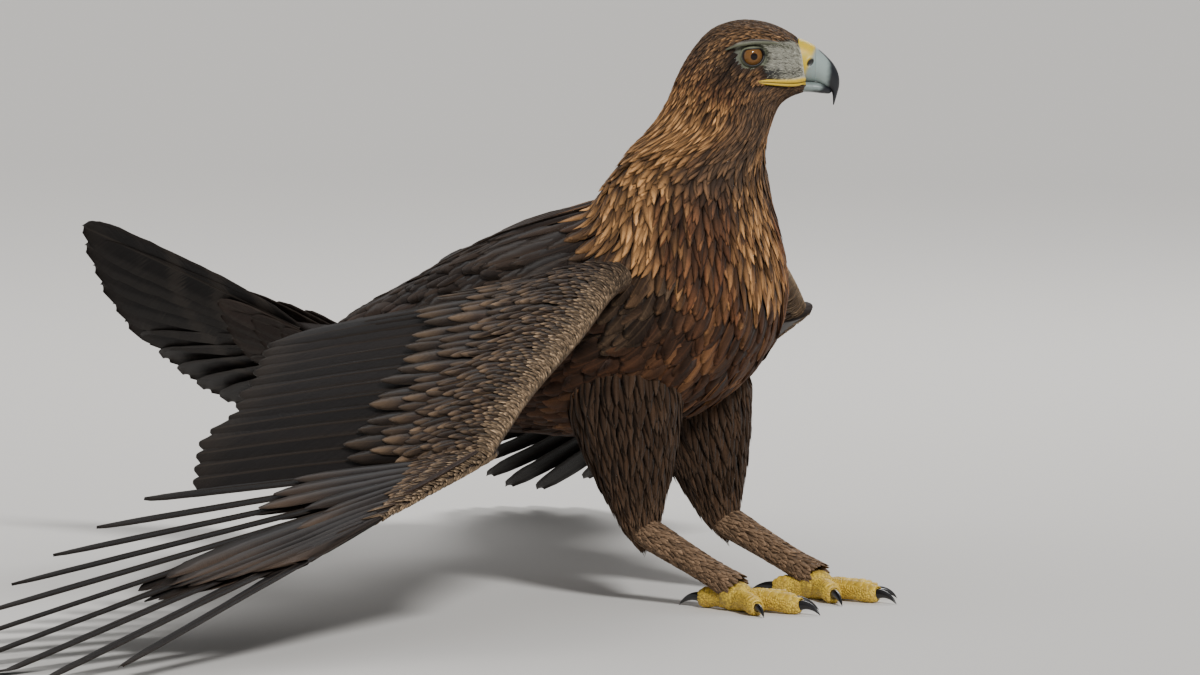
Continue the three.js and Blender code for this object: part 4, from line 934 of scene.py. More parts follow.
def scatter_plates(name, plate, places, turns, sizes, variation, seed):
    """Geometry Nodes put a copy of `plate` at each place, turned to its axes and sized, and join the copies."""
    cloud = bpy.data.meshes.new(name)
    cloud.from_pydata([tuple(p) for p in (np.array(places) + ORIGIN) / 1000], [], [])
    eulers = np.array([Matrix([tuple(axis) for axis in axes]).transposed().to_euler() for axes in turns])
    for label, rows in (("Turn", eulers), ("Size", np.array(sizes) / 1000)):
        layer = cloud.attributes.new(label, "FLOAT_VECTOR", "POINT")
        layer.data.foreach_set("vector", rows.astype(np.float32).ravel())
    piece = make_object(name, cloud)
    tree = bpy.data.node_groups.new(name, "GeometryNodeTree")
    values = {
        "Geometry": ("Geometry", None), "Plate": ("Object", plate), "Variation": ("Float", variation),
        "Seed": ("Int", seed), "Look": ("Material", bpy.data.materials["toe_scales"]),
    }
    for label, (kind, _) in values.items():
        tree.interface.new_socket(label, in_out="INPUT", socket_type="NodeSocket" + kind)
    tree.interface.new_socket("Geometry", in_out="OUTPUT", socket_type="NodeSocketGeometry")
    node = partial(add, tree)
    entry = node("NodeGroupInput").node.outputs
    turn, size = (
        node("GeometryNodeInputNamedAttribute", {"Name": label}, out="Attribute", data_type="FLOAT_VECTOR")
        for label in ("Turn", "Size")
    )
    low, high = (node("Math " + way, 1, entry["Variation"]) for way in ("SUBTRACT", "ADD"))
    chance = node("FunctionNodeRandomValue", {2: low, 3: high, "Seed": entry["Seed"]}, out=1)
    copies = node("GeometryNodeInstanceOnPoints", {
        "Points": entry["Geometry"],
        "Instance": node("GeometryNodeObjectInfo", {"Object": entry["Plate"]}, out="Geometry"),
        "Rotation": node("FunctionNodeEulerToRotation", turn),
        "Scale": node("VectorMath SCALE", {0: size, "Scale": chance}),
    })
    joined = node("GeometryNodeRealizeInstances", copies)
    node("NodeGroupOutput", node("GeometryNodeSetMaterial", {"Geometry": joined, "Material": entry["Look"]}))
    modifier = piece.modifiers.new("Plates", "NODES")
    modifier.node_group = tree
    for item in tree.interface.items_tree:
        if item.in_out == "INPUT" and item.name != "Geometry":
            modifier[item.identifier] = values[item.name][1]
    mesh = bpy.data.meshes.new_from_object(piece.evaluated_get(bpy.context.evaluated_depsgraph_get()))
    piece.modifiers.clear()
    piece.data = mesh
    mesh.shade_smooth()
    finish_piece(piece, "toe_scales")


def unit_scute(rows, arc):
    """An arched plate on the X axis, 1 long, bent round it at radius 1; its rim dips inside."""
    x = np.array([-0.5, -0.44, -0.25, 0.1, 0.36, 0.48, 0.5])[:, None]
    lift = np.array([0.86, 0.99, 1.04, 1.06, 1.05, 0.98, 0.86])[:, None]
    angle = np.linspace(-arc, arc, rows)
    lift = lift * (1 - 0.16 * np.abs(angle / arc) ** 6)
    grid = np.stack(np.broadcast_arrays(x, lift * np.sin(angle), lift * np.cos(angle)), axis=-1)
    points, quads, _ = grid_mesh(grid, closed=False, caps=False)
    return unit_object("scute", points, quads)


def unit_pebble():
    """A low dome on the Z axis, 1 across its half."""
    around, heights = circle(6), ((1.0, -0.25), (0.78, 0.22))
    rings = np.stack([ring((0, 0, z), (0, 0, 1), r, r, around, (1, 0, 0)) for r, z in heights])
    fan = [(6 + i, 6 + (i + 1) % 6, 12) for i in range(6)]
    return unit_object("pebble", [*rings.reshape(-1, 3), (0, 0, 0.36)], [*ring_quads(2, 6), *fan])


def unit_object(name, points, faces):
    mesh = bpy.data.meshes.new(name)
    mesh.from_pydata([tuple(p) for p in points], [], [tuple(int(i) for i in face) for face in faces])
    return bpy.data.objects.new(name, mesh)


def build_foot_scales():
    """Broad scutes over each toe near its claw and small round scales over the rest of the toe."""
    scute, pebble = unit_scute(11, radians(62)), unit_pebble()
    for side, sign in SIDES:
        rng = np.random.default_rng(50 + sign)
        forms, ends = toe_forms(sign)
        scutes, pebbles = [], []
        for grid, (name, (_, way, _, _)) in zip(forms, ends.items()):
            middles = grid.mean(1)
            stations = [0.5, 0.66, 0.82, 0.94] if name == "hind" else [0.45, 0.57, 0.69, 0.81, 0.925]
            run = np.linalg.norm(middles[-1] - middles[0])
            for share in stations:
                index = int(round(share * (len(grid) - 1)))
                size = grid[index][:, 2].max() - middles[index][2]
                turn = (way, np.cross((0, 0, 1), way), (0, 0, 1))
                scutes.append((middles[index], turn, (0.135 * run, size * 0.98, size * 0.98)))
            surface = Surface(grid).face(10, 0, grid[10, 0] - middles[10])

            def keep(u, v, points):
                share = v / surface.rows
                high = surface.sample(u, v)[1][..., 2] if np.ndim(u) == 1 else np.zeros(np.shape(u))
                return (points[..., 2] > 1.9) & ~((high > 0.45) & (share > stations[0] - 0.06)) & (share < 0.95)

            u, v = surface.scatter(lambda u, v, points: np.full(np.shape(v), 2.1), rng, keep)
            place, normal, _, dv = surface.sample(u, v)
            for p, n, a in zip(place, normal, lie_flat(dv, normal)):
                pebbles.append((p, (a, np.cross(n, a), n), (1.25, 1.1, 1.1)))
        scatter_plates(f"foot_scutes_{side}", scute, *zip(*scutes), variation=0.03, seed=7 + sign)
        scatter_plates(f"foot_scales_{side}", pebble, *zip(*pebbles), variation=0.15, seed=7 + sign)
    for extra in (scute, pebble):
        bpy.data.objects.remove(extra)


# Wings. Their sections are (behind the leading edge, above the bone) pairs from the front to the back.
ARM_SECTIONS = (
    [(12, -9.5), (4, -7), (0, 0), (2, 7), (9, 13), (28, 17.5), (60, 18), (90, 15), (130, 9.8), (190, 6), (260, 3.5),
     (420, 0)],
    [(0, 0), (2, -6), (9, -10.5), (28, -13), (60, -12), (90, -9), (130, -5), (190, -4), (260, -4), (420, -8)],
)
HAND_SECTIONS = (
    [(7, -5), (2, -3.6), (0, 0), (1.5, 4), (6, 7), (20, 8.5), (40, 7.5), (70, 5), (120, 4), (300, 2)],
    [(0, 0), (1.5, -4), (6, -6), (20, -6.5), (40, -5), (70, -3), (120, -2.4), (300, -2)],
)
ARM_SHARES = np.linspace(0, 1.02, 70)
HAND_SHARES = np.linspace(-0.1, 1.12, 60)


def wing_frame(form, share):
    """The arm's leading edge, and the ways along it, back from it and up."""
    share = np.asarray(share, float)
    point, ahead, behind = (
        spline(form["lead"], at) for at in (share, np.minimum(share + 1e-3, 1), np.maximum(share - 1e-3, 0))
    )
    span = unit(ahead - behind)
    chord = unit(mix(*np.array(form["chord"], float), share[:, None]))
    normal = unit(np.cross(span, chord))
    return point, span, chord, np.where(normal[:, 2:3] < 0, -normal, normal)


def hand_frame(form):
    """The wrist, the arm's ways there, the way to the wing's tip and the hand's own way up."""
    point, _, chord, normal = (value[0] for value in wing_frame(form, [1.0]))
    line = unit(np.array(form["tip"]) - point)
    return point, chord, normal, line, upward(unit(np.cross(line, chord)))


def hand_rows(form, share):
    """Along the hand's bone: the leading edge, the way back from it and the way up."""
    point, chord, normal, line, out = hand_frame(form)
    turned = unit(mix(chord, line, mix(0.15, 0.6, np.clip(share, 0, 1))[:, None]))
    up = unit(mix(normal, out, np.clip(share * 3, 0, 1)[:, None]))
    return point + line * (share * HAND["bone"])[:, None], turned, up


def fan(form, share):
    """Direction of the hand's feathers from the innermost primary to the outermost."""
    _, chord, _, line, _ = hand_frame(form)
    whole = acos(np.clip(np.dot(chord, line), -1, 1))
    angle = (whole * mix(form["first"], 1, np.clip(np.asarray(share, float), 0, 1) ** 0.9))[..., None]
    return chord * np.cos(angle) + np.cross(unit(np.cross(chord, line)), chord) * np.sin(angle)


def envelope(outline, count):
    """Points along an outline of the wing's section, closer together at its front."""
    line = spline([(d, h, 0) for d, h in outline], np.linspace(0, 1, 400))
    run = np.concatenate([[0], np.cumsum(np.linalg.norm(np.diff(line, axis=0), axis=1))])
    at = run[-1] * np.linspace(0, 1, count) ** 1.5
    return np.stack([np.interp(at, run, line[:, 0]), np.interp(at, run, line[:, 1])], axis=1)


def behind_edge(section):
    """How far behind the leading edge each point of a section lies; never less than the one before."""
    reach = np.where(np.arange(len(section)) < section[:, 0].argmin(), 0, section[:, 0])
    return np.maximum.accumulate(reach) + np.arange(len(section)) * 1e-4


def wing_skin(section, rows, deep, thick, under):
    """A surface of the wing from its section and its rows of leading edge, way back and way up."""
    start, back, up = rows
    grid = start[None] + back[None] * deep + up[None] * (section[:, None, 1:] * thick[None, :, None])
    return Surface(grid, False, (0.02, 0.52 if under else 0.02, 0.96, 0.46))


def arm_surface(form, under):
    point, _, chord, normal = wing_frame(form, ARM_SHARES)
    section = envelope(ARM_SECTIONS[under], 130)
    deep, thick = (np.interp(ARM_SHARES, [0, 1], [1, sizes[1] / sizes[0]]) for sizes in (FLESH_CHORD, FLESH_THICK))
    surface = wing_skin(section, (point, chord, normal), section[:, None, :1] * deep[None, :, None], thick, under)
    return surface.face(60, 35, -normal[35] if under else normal[35]), behind_edge(section)


def hand_surface(form, under):
    section = envelope(HAND_SECTIONS[under], 90)
    nose = np.interp(HAND_SHARES, [0, 1], [1, 0.45])
    deep = section[:, None, :1] * np.where(section[:, None, :1] < 20, nose[None, :, None], 1)
    thick = np.interp(HAND_SHARES, [0, 1], [1, HAND["thick"][1] / HAND["thick"][0]])
    out = hand_frame(form)[-1]
    surface = wing_skin(section, hand_rows(form, HAND_SHARES), deep, thick, under)
    return surface.face(50, 30, -out if under else out), behind_edge(section)


def wing_edge_colours(d, base_noise, edge_noise, ends, pale):
    """Base and edge colours of the small coverts, from the pale leading edge back over `ends` millimetres."""
    base = blend(tint("marginal") * pale, tint("covert"), ease(d + base_noise, *ends[0]))
    return base, blend(tint("marginal"), tint("covert_edge"), ease(d + edge_noise, *ends[1]))


def coat_arm(side, sign, form, rng):
    """The coverts of a wing's arm, above and below."""
    skins = [(*arm_surface(form, under), under) for under in (False, True)]
    coat, crowding = Coat(), coat_gap()
    for surface, reach, under in skins:
        def back_at(v):
            return np.interp(v, np.arange(len(reach)), reach)

        def size(d):
            return np.interp(d, [0, 6, 20, 45, 80, 110, 150], [8, 10.5, 16, 25, 34, 42, 46])

        u, v = surface.scatter(
            lambda u, v, points: size(back_at(v)) * 0.3 * crowding, rng,
            lambda u, v, points: (back_at(v) < 104) & (u > 8),
        )
        d, n = back_at(v), len(u)
        length = size(d) * rng.normal(1, 0.07, n)
        noise = rng.normal(0, 1, n)
        base, edge = wing_edge_colours(d, 3 * noise, 6 * noise, ((2, 14), (6, 34)), 0.25)
        edge = edge * np.exp(0.3 * rng.normal(0, 1, n))[:, None]
        inner = ease(u / surface.columns, 0.45, 0.15)
        base, edge = toward((base, edge), "back", "back_edge", inner * 0.7, inner * 0.6)
        if under:
            base, edge = base * 0.85 + tint("rust") * 0.1, edge * 0.7
        coat.lay(surface, u, v, length, length * 0.41, base * np.exp(0.15 * noise)[:, None], edge, rng, POINTED,
                 root=np.interp(d, [0, 30, 90], [-1.5, -3, -3]), tip=np.interp(d, [0, 30, 90], [0.4, 1.0, 1.2]),
                 tilt=0.08, lean=-0.12 * sign if under else 0.12 * sign)
    # Median and greater coverts in neat rows, and the scapulars' long tertial row near the body.
    rows = ((84, 134, 23, 17, 1.0, "covert", 0.9, 0.75), (98, 168, 20, 21, 0.7, "covert", 0.9, 0.75),
            (114, 207, 18, 27, 0.2, "back", 0.7, 0.5))
    for surface, behind, under in skins:
        for start, reach, count, wide, lift, name, base_tone, edge_tone in rows:
            share = mix(0.11, 0.985, (np.arange(count) + 0.5 + rng.uniform(-0.18, 0.18, count)) / count)
            v = np.full(count, np.interp(start, behind, np.arange(len(behind))))
            deep = np.interp(share, [0, 1], [1, 0.66])
            base = tint(name) * base_tone * np.exp(0.12 * rng.normal(0, 1, count))[:, None]
            edge = tint("covert_edge") * edge_tone * (0.8 if under else 1)
            length = (reach * 0.88 ** share - start * deep ** 0.3) * rng.normal(1, 0.05, count)
            coat.lay(surface, share * 69 / 1.02, v, length, wide * (0.9 + 0.1 * deep), base, edge, rng, POINTED,
                     root=-4.5, tip=lift + 0.5, stray=0.05, tilt=0.05, ragged=0.04, camber=0.05)
    coat.build(f"coat_arm_{side}", "covert_feather", "feather_wing")


def grow_flights(side, form, rng):
    """A wing's secondaries, primaries and the few stiff feathers on its thumb."""
    flights = Coat()
    flight, flight_base, covert = (tint(name) for name in ("flight", "flight_base", "covert"))
    for i in range(SECONDARIES):
        share = mix(0.1, 1, (i + 0.5) / SECONDARIES)
        point, span, chord, normal = (value[0] for value in wing_frame(form, [share]))
        start = mix(*FLESH_CHORD, share) * 0.66
        length = (mix(405, 332, share) - start + rng.normal(0, 5)) * (1 - 0.18 * ease(share, 0.3, 0.1))
        flights.quill(
            point + chord * start, chord, span, normal, length, 54, 0.42, FLIGHT, rng, flight * rng.normal(1.1, 0.1),
            flight_base, (0.02 + 0.4 * share, 0.3 + 0.2 * (i % 2)), roll=radians(4.5), droop=12, camber=0.035,
        )
    point, chord, _, line, out = hand_frame(form)
    for i, (length, width) in enumerate(PRIMARIES):
        share = i / (len(PRIMARIES) - 1)
        root = point + line * mix(*HAND["span"], share) + chord * mix(*HAND["inset"], share)
        flights.quill(
            root, fan(form, share), line + chord * (-0.9 + 0.2 * share), out, length, width, mix(0.42, 0.3, share),
            NOTCHED if i >= 5 else FLIGHT, rng, flight * rng.normal(0.95, 0.06), flight_base * 0.8,
            (0.5 + 0.45 * share, 0.3), roll=radians(8), camber=0.04, shaft=3.6, rows=30,
        )
    for i in range(4):
        root = point + line * (5 * (i + 1)) + chord * (8 + 5 * i) + out * (7.5 - 1.2 * i)
        flights.quill(
            root, line + chord * (0.06 + 0.09 * i), -chord, out, 100 - 17 * i, 22, 0.42, COVERT, rng,
            covert * 1.5, covert * 3.5, (0.6 + 0.05 * i, 0.6), roll=radians(8), droop=2, rows=16,
        )
    flights.build(
        f"flight_feathers_{side}", "flight_feather", "feather_flight", (f"wing_{side}_arm", f"wing_{side}_hand"),
    )


def coat_hand(side, form, rng):
    """The coverts of a wing's hand, above and below, and the row over the primaries' roots."""
    coat, crowding = Coat(), coat_gap()
    for under in (False, True):
        surface, reach = hand_surface(form, under)
        rows, columns = np.arange(surface.rows), np.arange(surface.columns)

        def share_at(u):
            return np.interp(u, columns, HAND_SHARES)

        def size(v):
            return np.interp(np.interp(v, rows, reach), [0, 5, 15, 40], [7.5, 9.5, 15, 26])

        def keep(u, v, points):
            room = mix(44, 14, np.clip(share_at(u), 0, 1))
            return (np.interp(v, rows, reach) < room) & (share_at(u) < 1.06)

        u, v = surface.scatter(lambda u, v, points: size(v) * 0.3 * crowding, rng, keep)
        noise = rng.normal(0, 1, len(u))
        length = size(v) * rng.normal(1, 0.07, len(u))
        base, edge = wing_edge_colours(np.interp(v, rows, reach), 2 * noise, 0, ((2, 10), (8, 30)), 0.3)
        coat.lay(surface, u, v, length, length * 0.45, base * np.exp(0.15 * noise)[:, None], edge, rng,
                 heading=fan(form, share_at(u) * 0.95), root=-1.5, tip=0.8, tilt=0.06)
        share = np.linspace(0, 1, 12)
        u = np.interp(share * (HAND["span"][1] - HAND["span"][0]) / HAND["bone"] + 0.06, HAND_SHARES, columns)
        v = np.interp(mix(30, 6, share), reach, rows)
        base = tint("flight") * 1.6 * np.exp(0.1 * rng.normal(0, 1, len(share)))[:, None]
        coat.lay(surface, u, v, mix(112, 142, share), 30, base, tint("back_edge"), rng, heading=fan(form, share),
                 tip=1.0, stray=0.0, tilt=0.02, ragged=0.03, camber=0.05)
    coat.build(f"coat_hand_{side}", "covert_feather", "feather_wing")


def build_wings():
    for side, sign in SIDES:
        form = WINGS[side]
        rng = np.random.default_rng(form["seed"])
        coat_arm(side, sign, form, rng)
        grow_flights(side, form, rng)
        coat_hand(side, form, rng)


def tail_frame():
    """The ways along the tail, across it to the bird's right and up from it."""
    along = unit(np.array(TAIL["along"]))
    level = -unit(np.cross(along, (0, 0, 1)))
    across = np.cross(along, level)
    right = level * cos(TAIL["roll"]) - across * sin(TAIL["roll"])
    if right[2] < 0:
        right = level * cos(TAIL["roll"]) + across * sin(TAIL["roll"])
    return along, right, upward(np.cross(along, right))


def build_tail():
    """The twelve tail feathers, then three tiers of coverts above them and three below."""
    rng = np.random.default_rng(71)
    along, right, normal = tail_frame()
    tail, bar, back = (tint(name) for name in ("tail", "tail_bar", "back"))
    long, coverts = TAIL["length"] - TAIL["sink"], {"outline": COVERT, "edge": bar * 1.2, "rows": 16, "shaft": 1.4}
    above, below = {"stagger": 1.5, "slope": -0.006, **coverts}, {"stagger": 0.5, "slope": 0.006, **coverts}
    vanes = Coat()

    def tier(count, half, lift, length, width, start, spread, base, place_v, stagger, slope, outline, edge, rows,
             shaft):
        for place in np.linspace(-1, 1, count):
            out = unit(right * (-1 if place < 0 else 1) + normal * 2 * TAIL["curl"] * abs(place))
            way = along * cos(abs(place) * spread) + out * sin(abs(place) * spread) + normal * slope
            root = np.array(TAIL["root"]) + along * start + right * place * half
            root = root + normal * (lift - stagger * abs(place) + TAIL["curl"] * half * place ** 2)
            vanes.quill(
                root, way, out, normal, length * (1 - 0.05 * place ** 2) * rng.normal(1, 0.012), width, 0.44, outline,
                rng, base * rng.normal(1, 0.08), edge, (0.1 + 0.8 * (place + 1) / 2, place_v), roll=radians(10),
                droop=0.02 * length, camber=0.05, rows=rows, shaft=shaft,
            )

    tier(12, TAIL["half"], 2.5, long, TAIL["width"], TAIL["sink"], TAIL["spread"], tail, 0.3,
         stagger=7, slope=0, outline=FLIGHT, edge=bar, rows=26, shaft=3.2)
    tier(9, 19, 6.5, 108, 26, 16, radians(22), back * 1.2, 0.5, **above)
    tier(8, 19, 9.5, 72, 24, 8, radians(20), back * 1.3, 0.6, **above)
    tier(7, 19, 12, 46, 22, 0, radians(16), back * 1.4, 0.7, **above)
    tier(9, 19, -8.5, 124, 28, 16, radians(20), back * 1.6, 0.8, **below)
    tier(8, 19, -10.5, 88, 26, 8, radians(18), back * 1.8, 0.85, **below)
    tier(7, 19, -12, 58, 24, 0, radians(14), back * 2, 0.9, **below)
    vanes.build("tail_feathers", "tail_feather", "feather_tail", ("tail",))


def leg_surfaces(sign):
    """The skins of a thigh and of the feathered shank below it."""
    hip, ankle, foot = (np.array(p, float) * (1, sign, 1) for p in (HIP, ANKLE, FOOT))
    made = []
    for top, end, form, shares, tile in (
        (hip, ankle, THIGH, np.linspace(0, 1.06, 70), (0.02, 0.02, 0.96, 0.6)),
        (ankle, foot, TARSUS, np.linspace(-0.04, 0.92, 60), (0.02, 0.66, 0.96, 0.3)),
    ):
        stations, wide, deep = np.array(form).T
        wide, deep, line = np.interp(shares, stations, wide), np.interp(shares, stations, deep), end - top
        grid = np.stack([ring(top + line * s, line, w, d, circle(72)) for s, w, d in zip(shares, wide, deep)])
        made.append(Surface(grid, tile=tile).face(30, 0, grid[30, 0] - grid[30].mean(0)))
    return made


def build_leg_coats():
    """The long feathers of the thighs and the short ones of the shanks."""
    crowding = coat_gap()
    for side, sign in SIDES:
        rng = np.random.default_rng(37 + sign)
        thigh, tarsus = leg_surfaces(sign)

        def size(v):
            return np.interp(v, [0, 30, 50, 69], [33, 31, 26, 18])

        u, v = thigh.scatter(lambda u, v, points: size(v) * 0.2 * crowding, rng)
        n, low = len(u), ease(v, 35, 66)
        tone = np.exp(0.15 * rng.normal(0, 1, n))[:, None]
        base = blend(tint("leg") * 0.8, tint("leg") * 1.25, low) * tone
        edge = blend(tint("back_edge"), tint("tarsus"), low)
        length = size(v) * rng.normal(1, 0.1, n)
        coat = Coat()
        coat.lay(thigh, u, v, length, length * 0.26, base, edge, rng, LANCE, root=-4, tip=rng.uniform(0.4, 1.8, n),
                 stray=0.12, tilt=0.16)
        u, v = tarsus.scatter(lambda u, v, points: np.full(np.shape(v), 2.8) * crowding, rng)
        base = tint("tarsus") * np.exp(0.15 * rng.normal(0, 1, len(u)))[:, None]
        length = 12.5 * rng.normal(1, 0.1, len(u))
        coat.lay(tarsus, u, v, length, length * 0.38, base * 0.8, base * 1.35, rng, SHORT_LANCE, root=-1.4, tip=0.8,
                 tilt=0.15)
        coat.build(f"coat_leg_{side}", "contour_feather", "feather_leg")


def skin_parts():
    """Closed forms of the skin: the coat's own forms, drawn in by the coat's depth."""
    depth, k = bpy.context.scene.eagle_coat.depth * 1000, BODY_STEPS
    grow = -np.interp(k, [0, 3, 9, 13, 15.5, 18, 21], [depth, depth, depth * 0.9, 4.2, 2.4, 1.4, 0.6])
    parts = [twist(shape_head(section_grid(BODY, k, BODY_COLUMNS, grow)))]
    around = circle(28)
    back = (1 - np.cos(around)) / 2
    rise = np.sin(around) * (1 - 0.5 * back) * 0.6

    def flesh(start, way, up, inset, deep, thick):
        return (start[:, None] + way[:, None] * (inset + back[None, :, None] * deep[:, None, None])
                + up[:, None] * (rise[None, :, None] * thick[:, None, None]))

    for side, sign in SIDES:
        form = WINGS[side]
        share = np.linspace(0.02, 1, 40)
        point, _, chord, normal = wing_frame(form, share)
        parts.append(flesh(point, chord, normal, 3, mix(*FLESH_CHORD, share) - 6, mix(*FLESH_THICK, share) - 7))
        share = np.linspace(-0.12, 1, 30)
        closing = np.interp(share, [0, 0.93, 1], [1, 1, 0.5])
        deep, thick = mix(*HAND["chord"], share) - 4, np.maximum(mix(*HAND["thick"], share) - 4, 2)
        parts.append(flesh(*hand_rows(form, share), 2, deep * closing, thick * closing))
        thigh, tarsus = leg_surfaces(sign)
        parts += [thigh.grid - thigh.data[..., 3:6] * 5, tarsus.grid - tarsus.data[..., 3:6] * 1.6]
    along, right, normal = tail_frame()
    rump = []
    for distance, half, thick in ((-30, 28, 15), (0, 31, 13), (26, 33, 8), (60, 34, 4), (66, 30, 1.5)):
        across = half * np.cos(around)
        rump.append(np.array(TAIL["root"]) + along * distance + right * across[:, None]
                    + normal * (thick * np.sin(around) + TAIL["curl"] * across ** 2 / half)[:, None])
    return [*parts, np.stack(rump)]


def shape_head(grid):
    """Sinks the eye sockets and shapes the face of the head's skin; it still faces forward."""
    points = grid.copy()
    for _, sign in SIDES:
        axis = eye_axis(sign)
        off = points - eye_centre(sign)
        near = (off * axis).sum(-1)
        radial = np.linalg.norm((off - near[..., None] * axis) * (0.8, 1, 1), axis=-1)
        points = points - axis * (np.maximum(near - 5.0, 0) * ease(radial, 14.5, 8.5) * (near > 0))[..., None]
        # A hollow runs from the eye to the cere, under the brow.
        x, y, z = np.moveaxis(points, -1, 0)
        lore = ease(x, -14, -2) * ease(x, 22, 12) * np.exp(-((z - 479) / 9) ** 2) * (y * sign > 8)
        points[..., 1] -= sign * lore * 2.6
    return points


def eye_frame(sign):
    """Centre of the eye, its axis, and the directions ahead and up across it."""
    axis = eye_axis(sign)
    ahead = lie_flat(np.array([1.0, 0, 0]), axis)
    return eye_centre(sign), axis, ahead, upward(np.cross(axis, ahead))


def lid_opening(around):
    """Half opening of the lids in degrees: pointed corners, and an upper lid cut flat by the brow."""
    return np.interp(
        np.degrees(around) % 360, [0, 15, 30, 45, 60, 75, 90, 105, 120, 135, 150, 180, 210, 240, 270, 300, 330, 360],
        [66, 60, 56, 46, 36.5, 32.5, 31.5, 32.5, 36, 43, 50, 52, 49, 46.5, 45.5, 47, 54, 66],
    )


def lid_grid(sign):
    """Eyelids: a ring round the eye whose inner rim hugs the ball and whose outer side meets the socket."""
    centre, axis, ahead, up = eye_frame(sign)
    around = circle(96)[:, None]
    flat = ahead * np.cos(around) + up * np.sin(around)
    rows = []
    for extra, radius in (
        (0, 10.9), (0, 11.7), (1.5, 12.2), (4, 12.6), (8, 12.6), (12, 12.1), (17, 12.1), (26, 11.2), (40, 9.6),
        (40, 8.0),
    ):
        angle = np.radians(lid_opening(around) + extra)
        rows.append(centre + (axis * np.cos(angle) + flat * np.sin(angle)) * radius)
    return np.stack(rows)


def tube_grid(points, radii, flat=1.0):
    """Rings along a curve; flat squeezes them from side to side."""
    share = np.linspace(0, 1, 30)
    line, size = spline(points, share), spline([(r, 0, 0) for r in radii], share)[:, 0]
    way = np.gradient(line, axis=0)
    return np.stack([ring(p, w, r * flat, r, circle(20), (0, 0, 1)) for p, w, r in zip(line, way, size)])


def brow_grid(sign):
    line = ((10, 21.5, 488.5), (0, 27.5, 491), (-10, 32, 492.4), (-22, 35.3, 492.2), (-34, 36, 489.5),
            (-43, 34.5, 485.5))
    return tube_grid([(x, sign * y, z) for x, y, z in line], [0.8, 2.2, 3.0, 3.1, 2.2, 0.8], flat=0.75)


def gape_grid(sign, upper):
    """One of the two yellow lips at the corner of the mouth; the groove between them is the mouth's line."""
    line = np.array(face_line(GAPE, sign, 0.2))
    radii = np.array([0.5, 1.4, 1.9, 2.4, 2.8, 2.9] if upper else [0.5, 1.1, 1.3, 1.4, 1.4, 1.2])
    line[:, 2] += (radii - 0.15) * (1 if upper else -1)
    return tube_grid(line, radii)


def toe_forms(sign):
    """Rings of the toes and the palm, and each toe's end, in the bird's frame."""
    ground, around = np.array([FOOT[0], sign * FOOT[1], 0.0]), circle(24)
    forms, ends = [], {}
    for name, (yaw, length, radius, claw) in TOES.items():
        turn = radians(-sign * yaw)
        way = np.array([cos(turn), sin(turn), 0])
        rings = []
        for share in np.linspace(0, 1, 28):
            girth = mix(9.5, radius, share)
            thick = girth * (1 - 0.14 * ease(share, 0.86, 0.95)) - 3.2 * ease(share, 0.96, 1.0)
            thick = thick + 0.45 * sin(share * 3.2 * pi) * ease(share, 0.15, 0.3)
            height = girth - 0.8 + 3 * sin(share * pi) * (1 - share * 0.4)
            rings.append(ring(ground + way * (6 + share * length) + (0, 0, height), way, thick * 0.94, thick, around))
        forms.append(np.stack(rings))
        ends[name] = (ground + way * (6 + length) + (0, 0, radius - 0.8), way, radius, claw)
    forms.append(np.stack([
        ring(ground + (-1, 0, 12.5 + 13.5 * cos(a)), (0, 0, -1), 14 * sin(a), 16 * sin(a), around)
        for a in np.linspace(0.02, pi - 0.02, 20)
    ]))
    for grid in forms:
        grid[..., 2] = np.maximum(grid[..., 2], 0.0)
    return forms, ends


def union_mesh(name, first, *others):
    """Joins closed meshes into one surface."""
    group = bpy.data.collections.new(name + "_parts")
    bpy.context.scene.collection.children.link(group)
    for piece in others:
        bpy.context.scene.collection.objects.unlink(piece)
        group.objects.link(piece)
    joined = first.modifiers.new("join", "BOOLEAN")
    joined.operation, joined.operand_type, joined.collection, joined.solver = "UNION", "COLLECTION", group, "EXACT"
    mesh = bpy.data.meshes.new_from_object(first.evaluated_get(bpy.context.evaluated_depsgraph_get()))
    for piece in (first, *others):
        bpy.data.objects.remove(piece)
    bpy.data.collections.remove(group)
    mesh.shade_smooth()
    return make_object(name, mesh)


def build_skin():
    """One closed skin under the whole coat."""
    made = [make_mesh("form", *grid_mesh(grid)) for grid in skin_parts()]
    for _, sign in SIDES:
        made.append(make_mesh("form_lid", *grid_mesh(twist(lid_grid(sign)), caps=False, looped=True)))
        face = [twist(grid) for grid in (brow_grid(sign), gape_grid(sign, True), gape_grid(sign, False))]
        made += [make_mesh("form_face", *grid_mesh(grid)) for grid in (*face, *toe_forms(sign)[0])]
    skin = union_mesh("skin", *made)
    paint_skin(skin.data)
    legs = [f"{part}_{side}" for side, _ in SIDES for part in ("thigh", "tarsus", "foot")]
    finish_piece(skin, "bird_skin", ("head", "neck", "torso", *legs))


def coat_samples():
    """Places all over the coat and their base colours."""
    surface = body_surface(-4)
    u, v = (cells.ravel() for cells in np.meshgrid(
        np.arange(0.0, BODY_COLUMNS, 3), np.arange(0.0, len(BODY_STEPS), 3),
    ))
    found = [(surface.sample(u, v)[0], body_colours(u, v, np.random.default_rng(3))[0])]
    for side, sign in SIDES:
        for under in (False, True):
            for made, first, last, deep in ((arm_surface, 4, 70, 70), (hand_surface, 0, 60, 50)):
                u, v = (cells.ravel() for cells in np.meshgrid(np.arange(first, last, 3), np.arange(0, deep, 3)))
                found.append((made(WINGS[side], under)[0].sample(u, v)[0], tint("covert")))
        for surface, name in zip(leg_surfaces(sign), ("leg", "tarsus")):
            found.append((surface.grid[::3, ::4].reshape(-1, 3), tint(name)))
    colours = [np.broadcast_to(paint, places.shape) for places, paint in found]
    return np.concatenate([places for places, _ in found]), np.concatenate(colours)


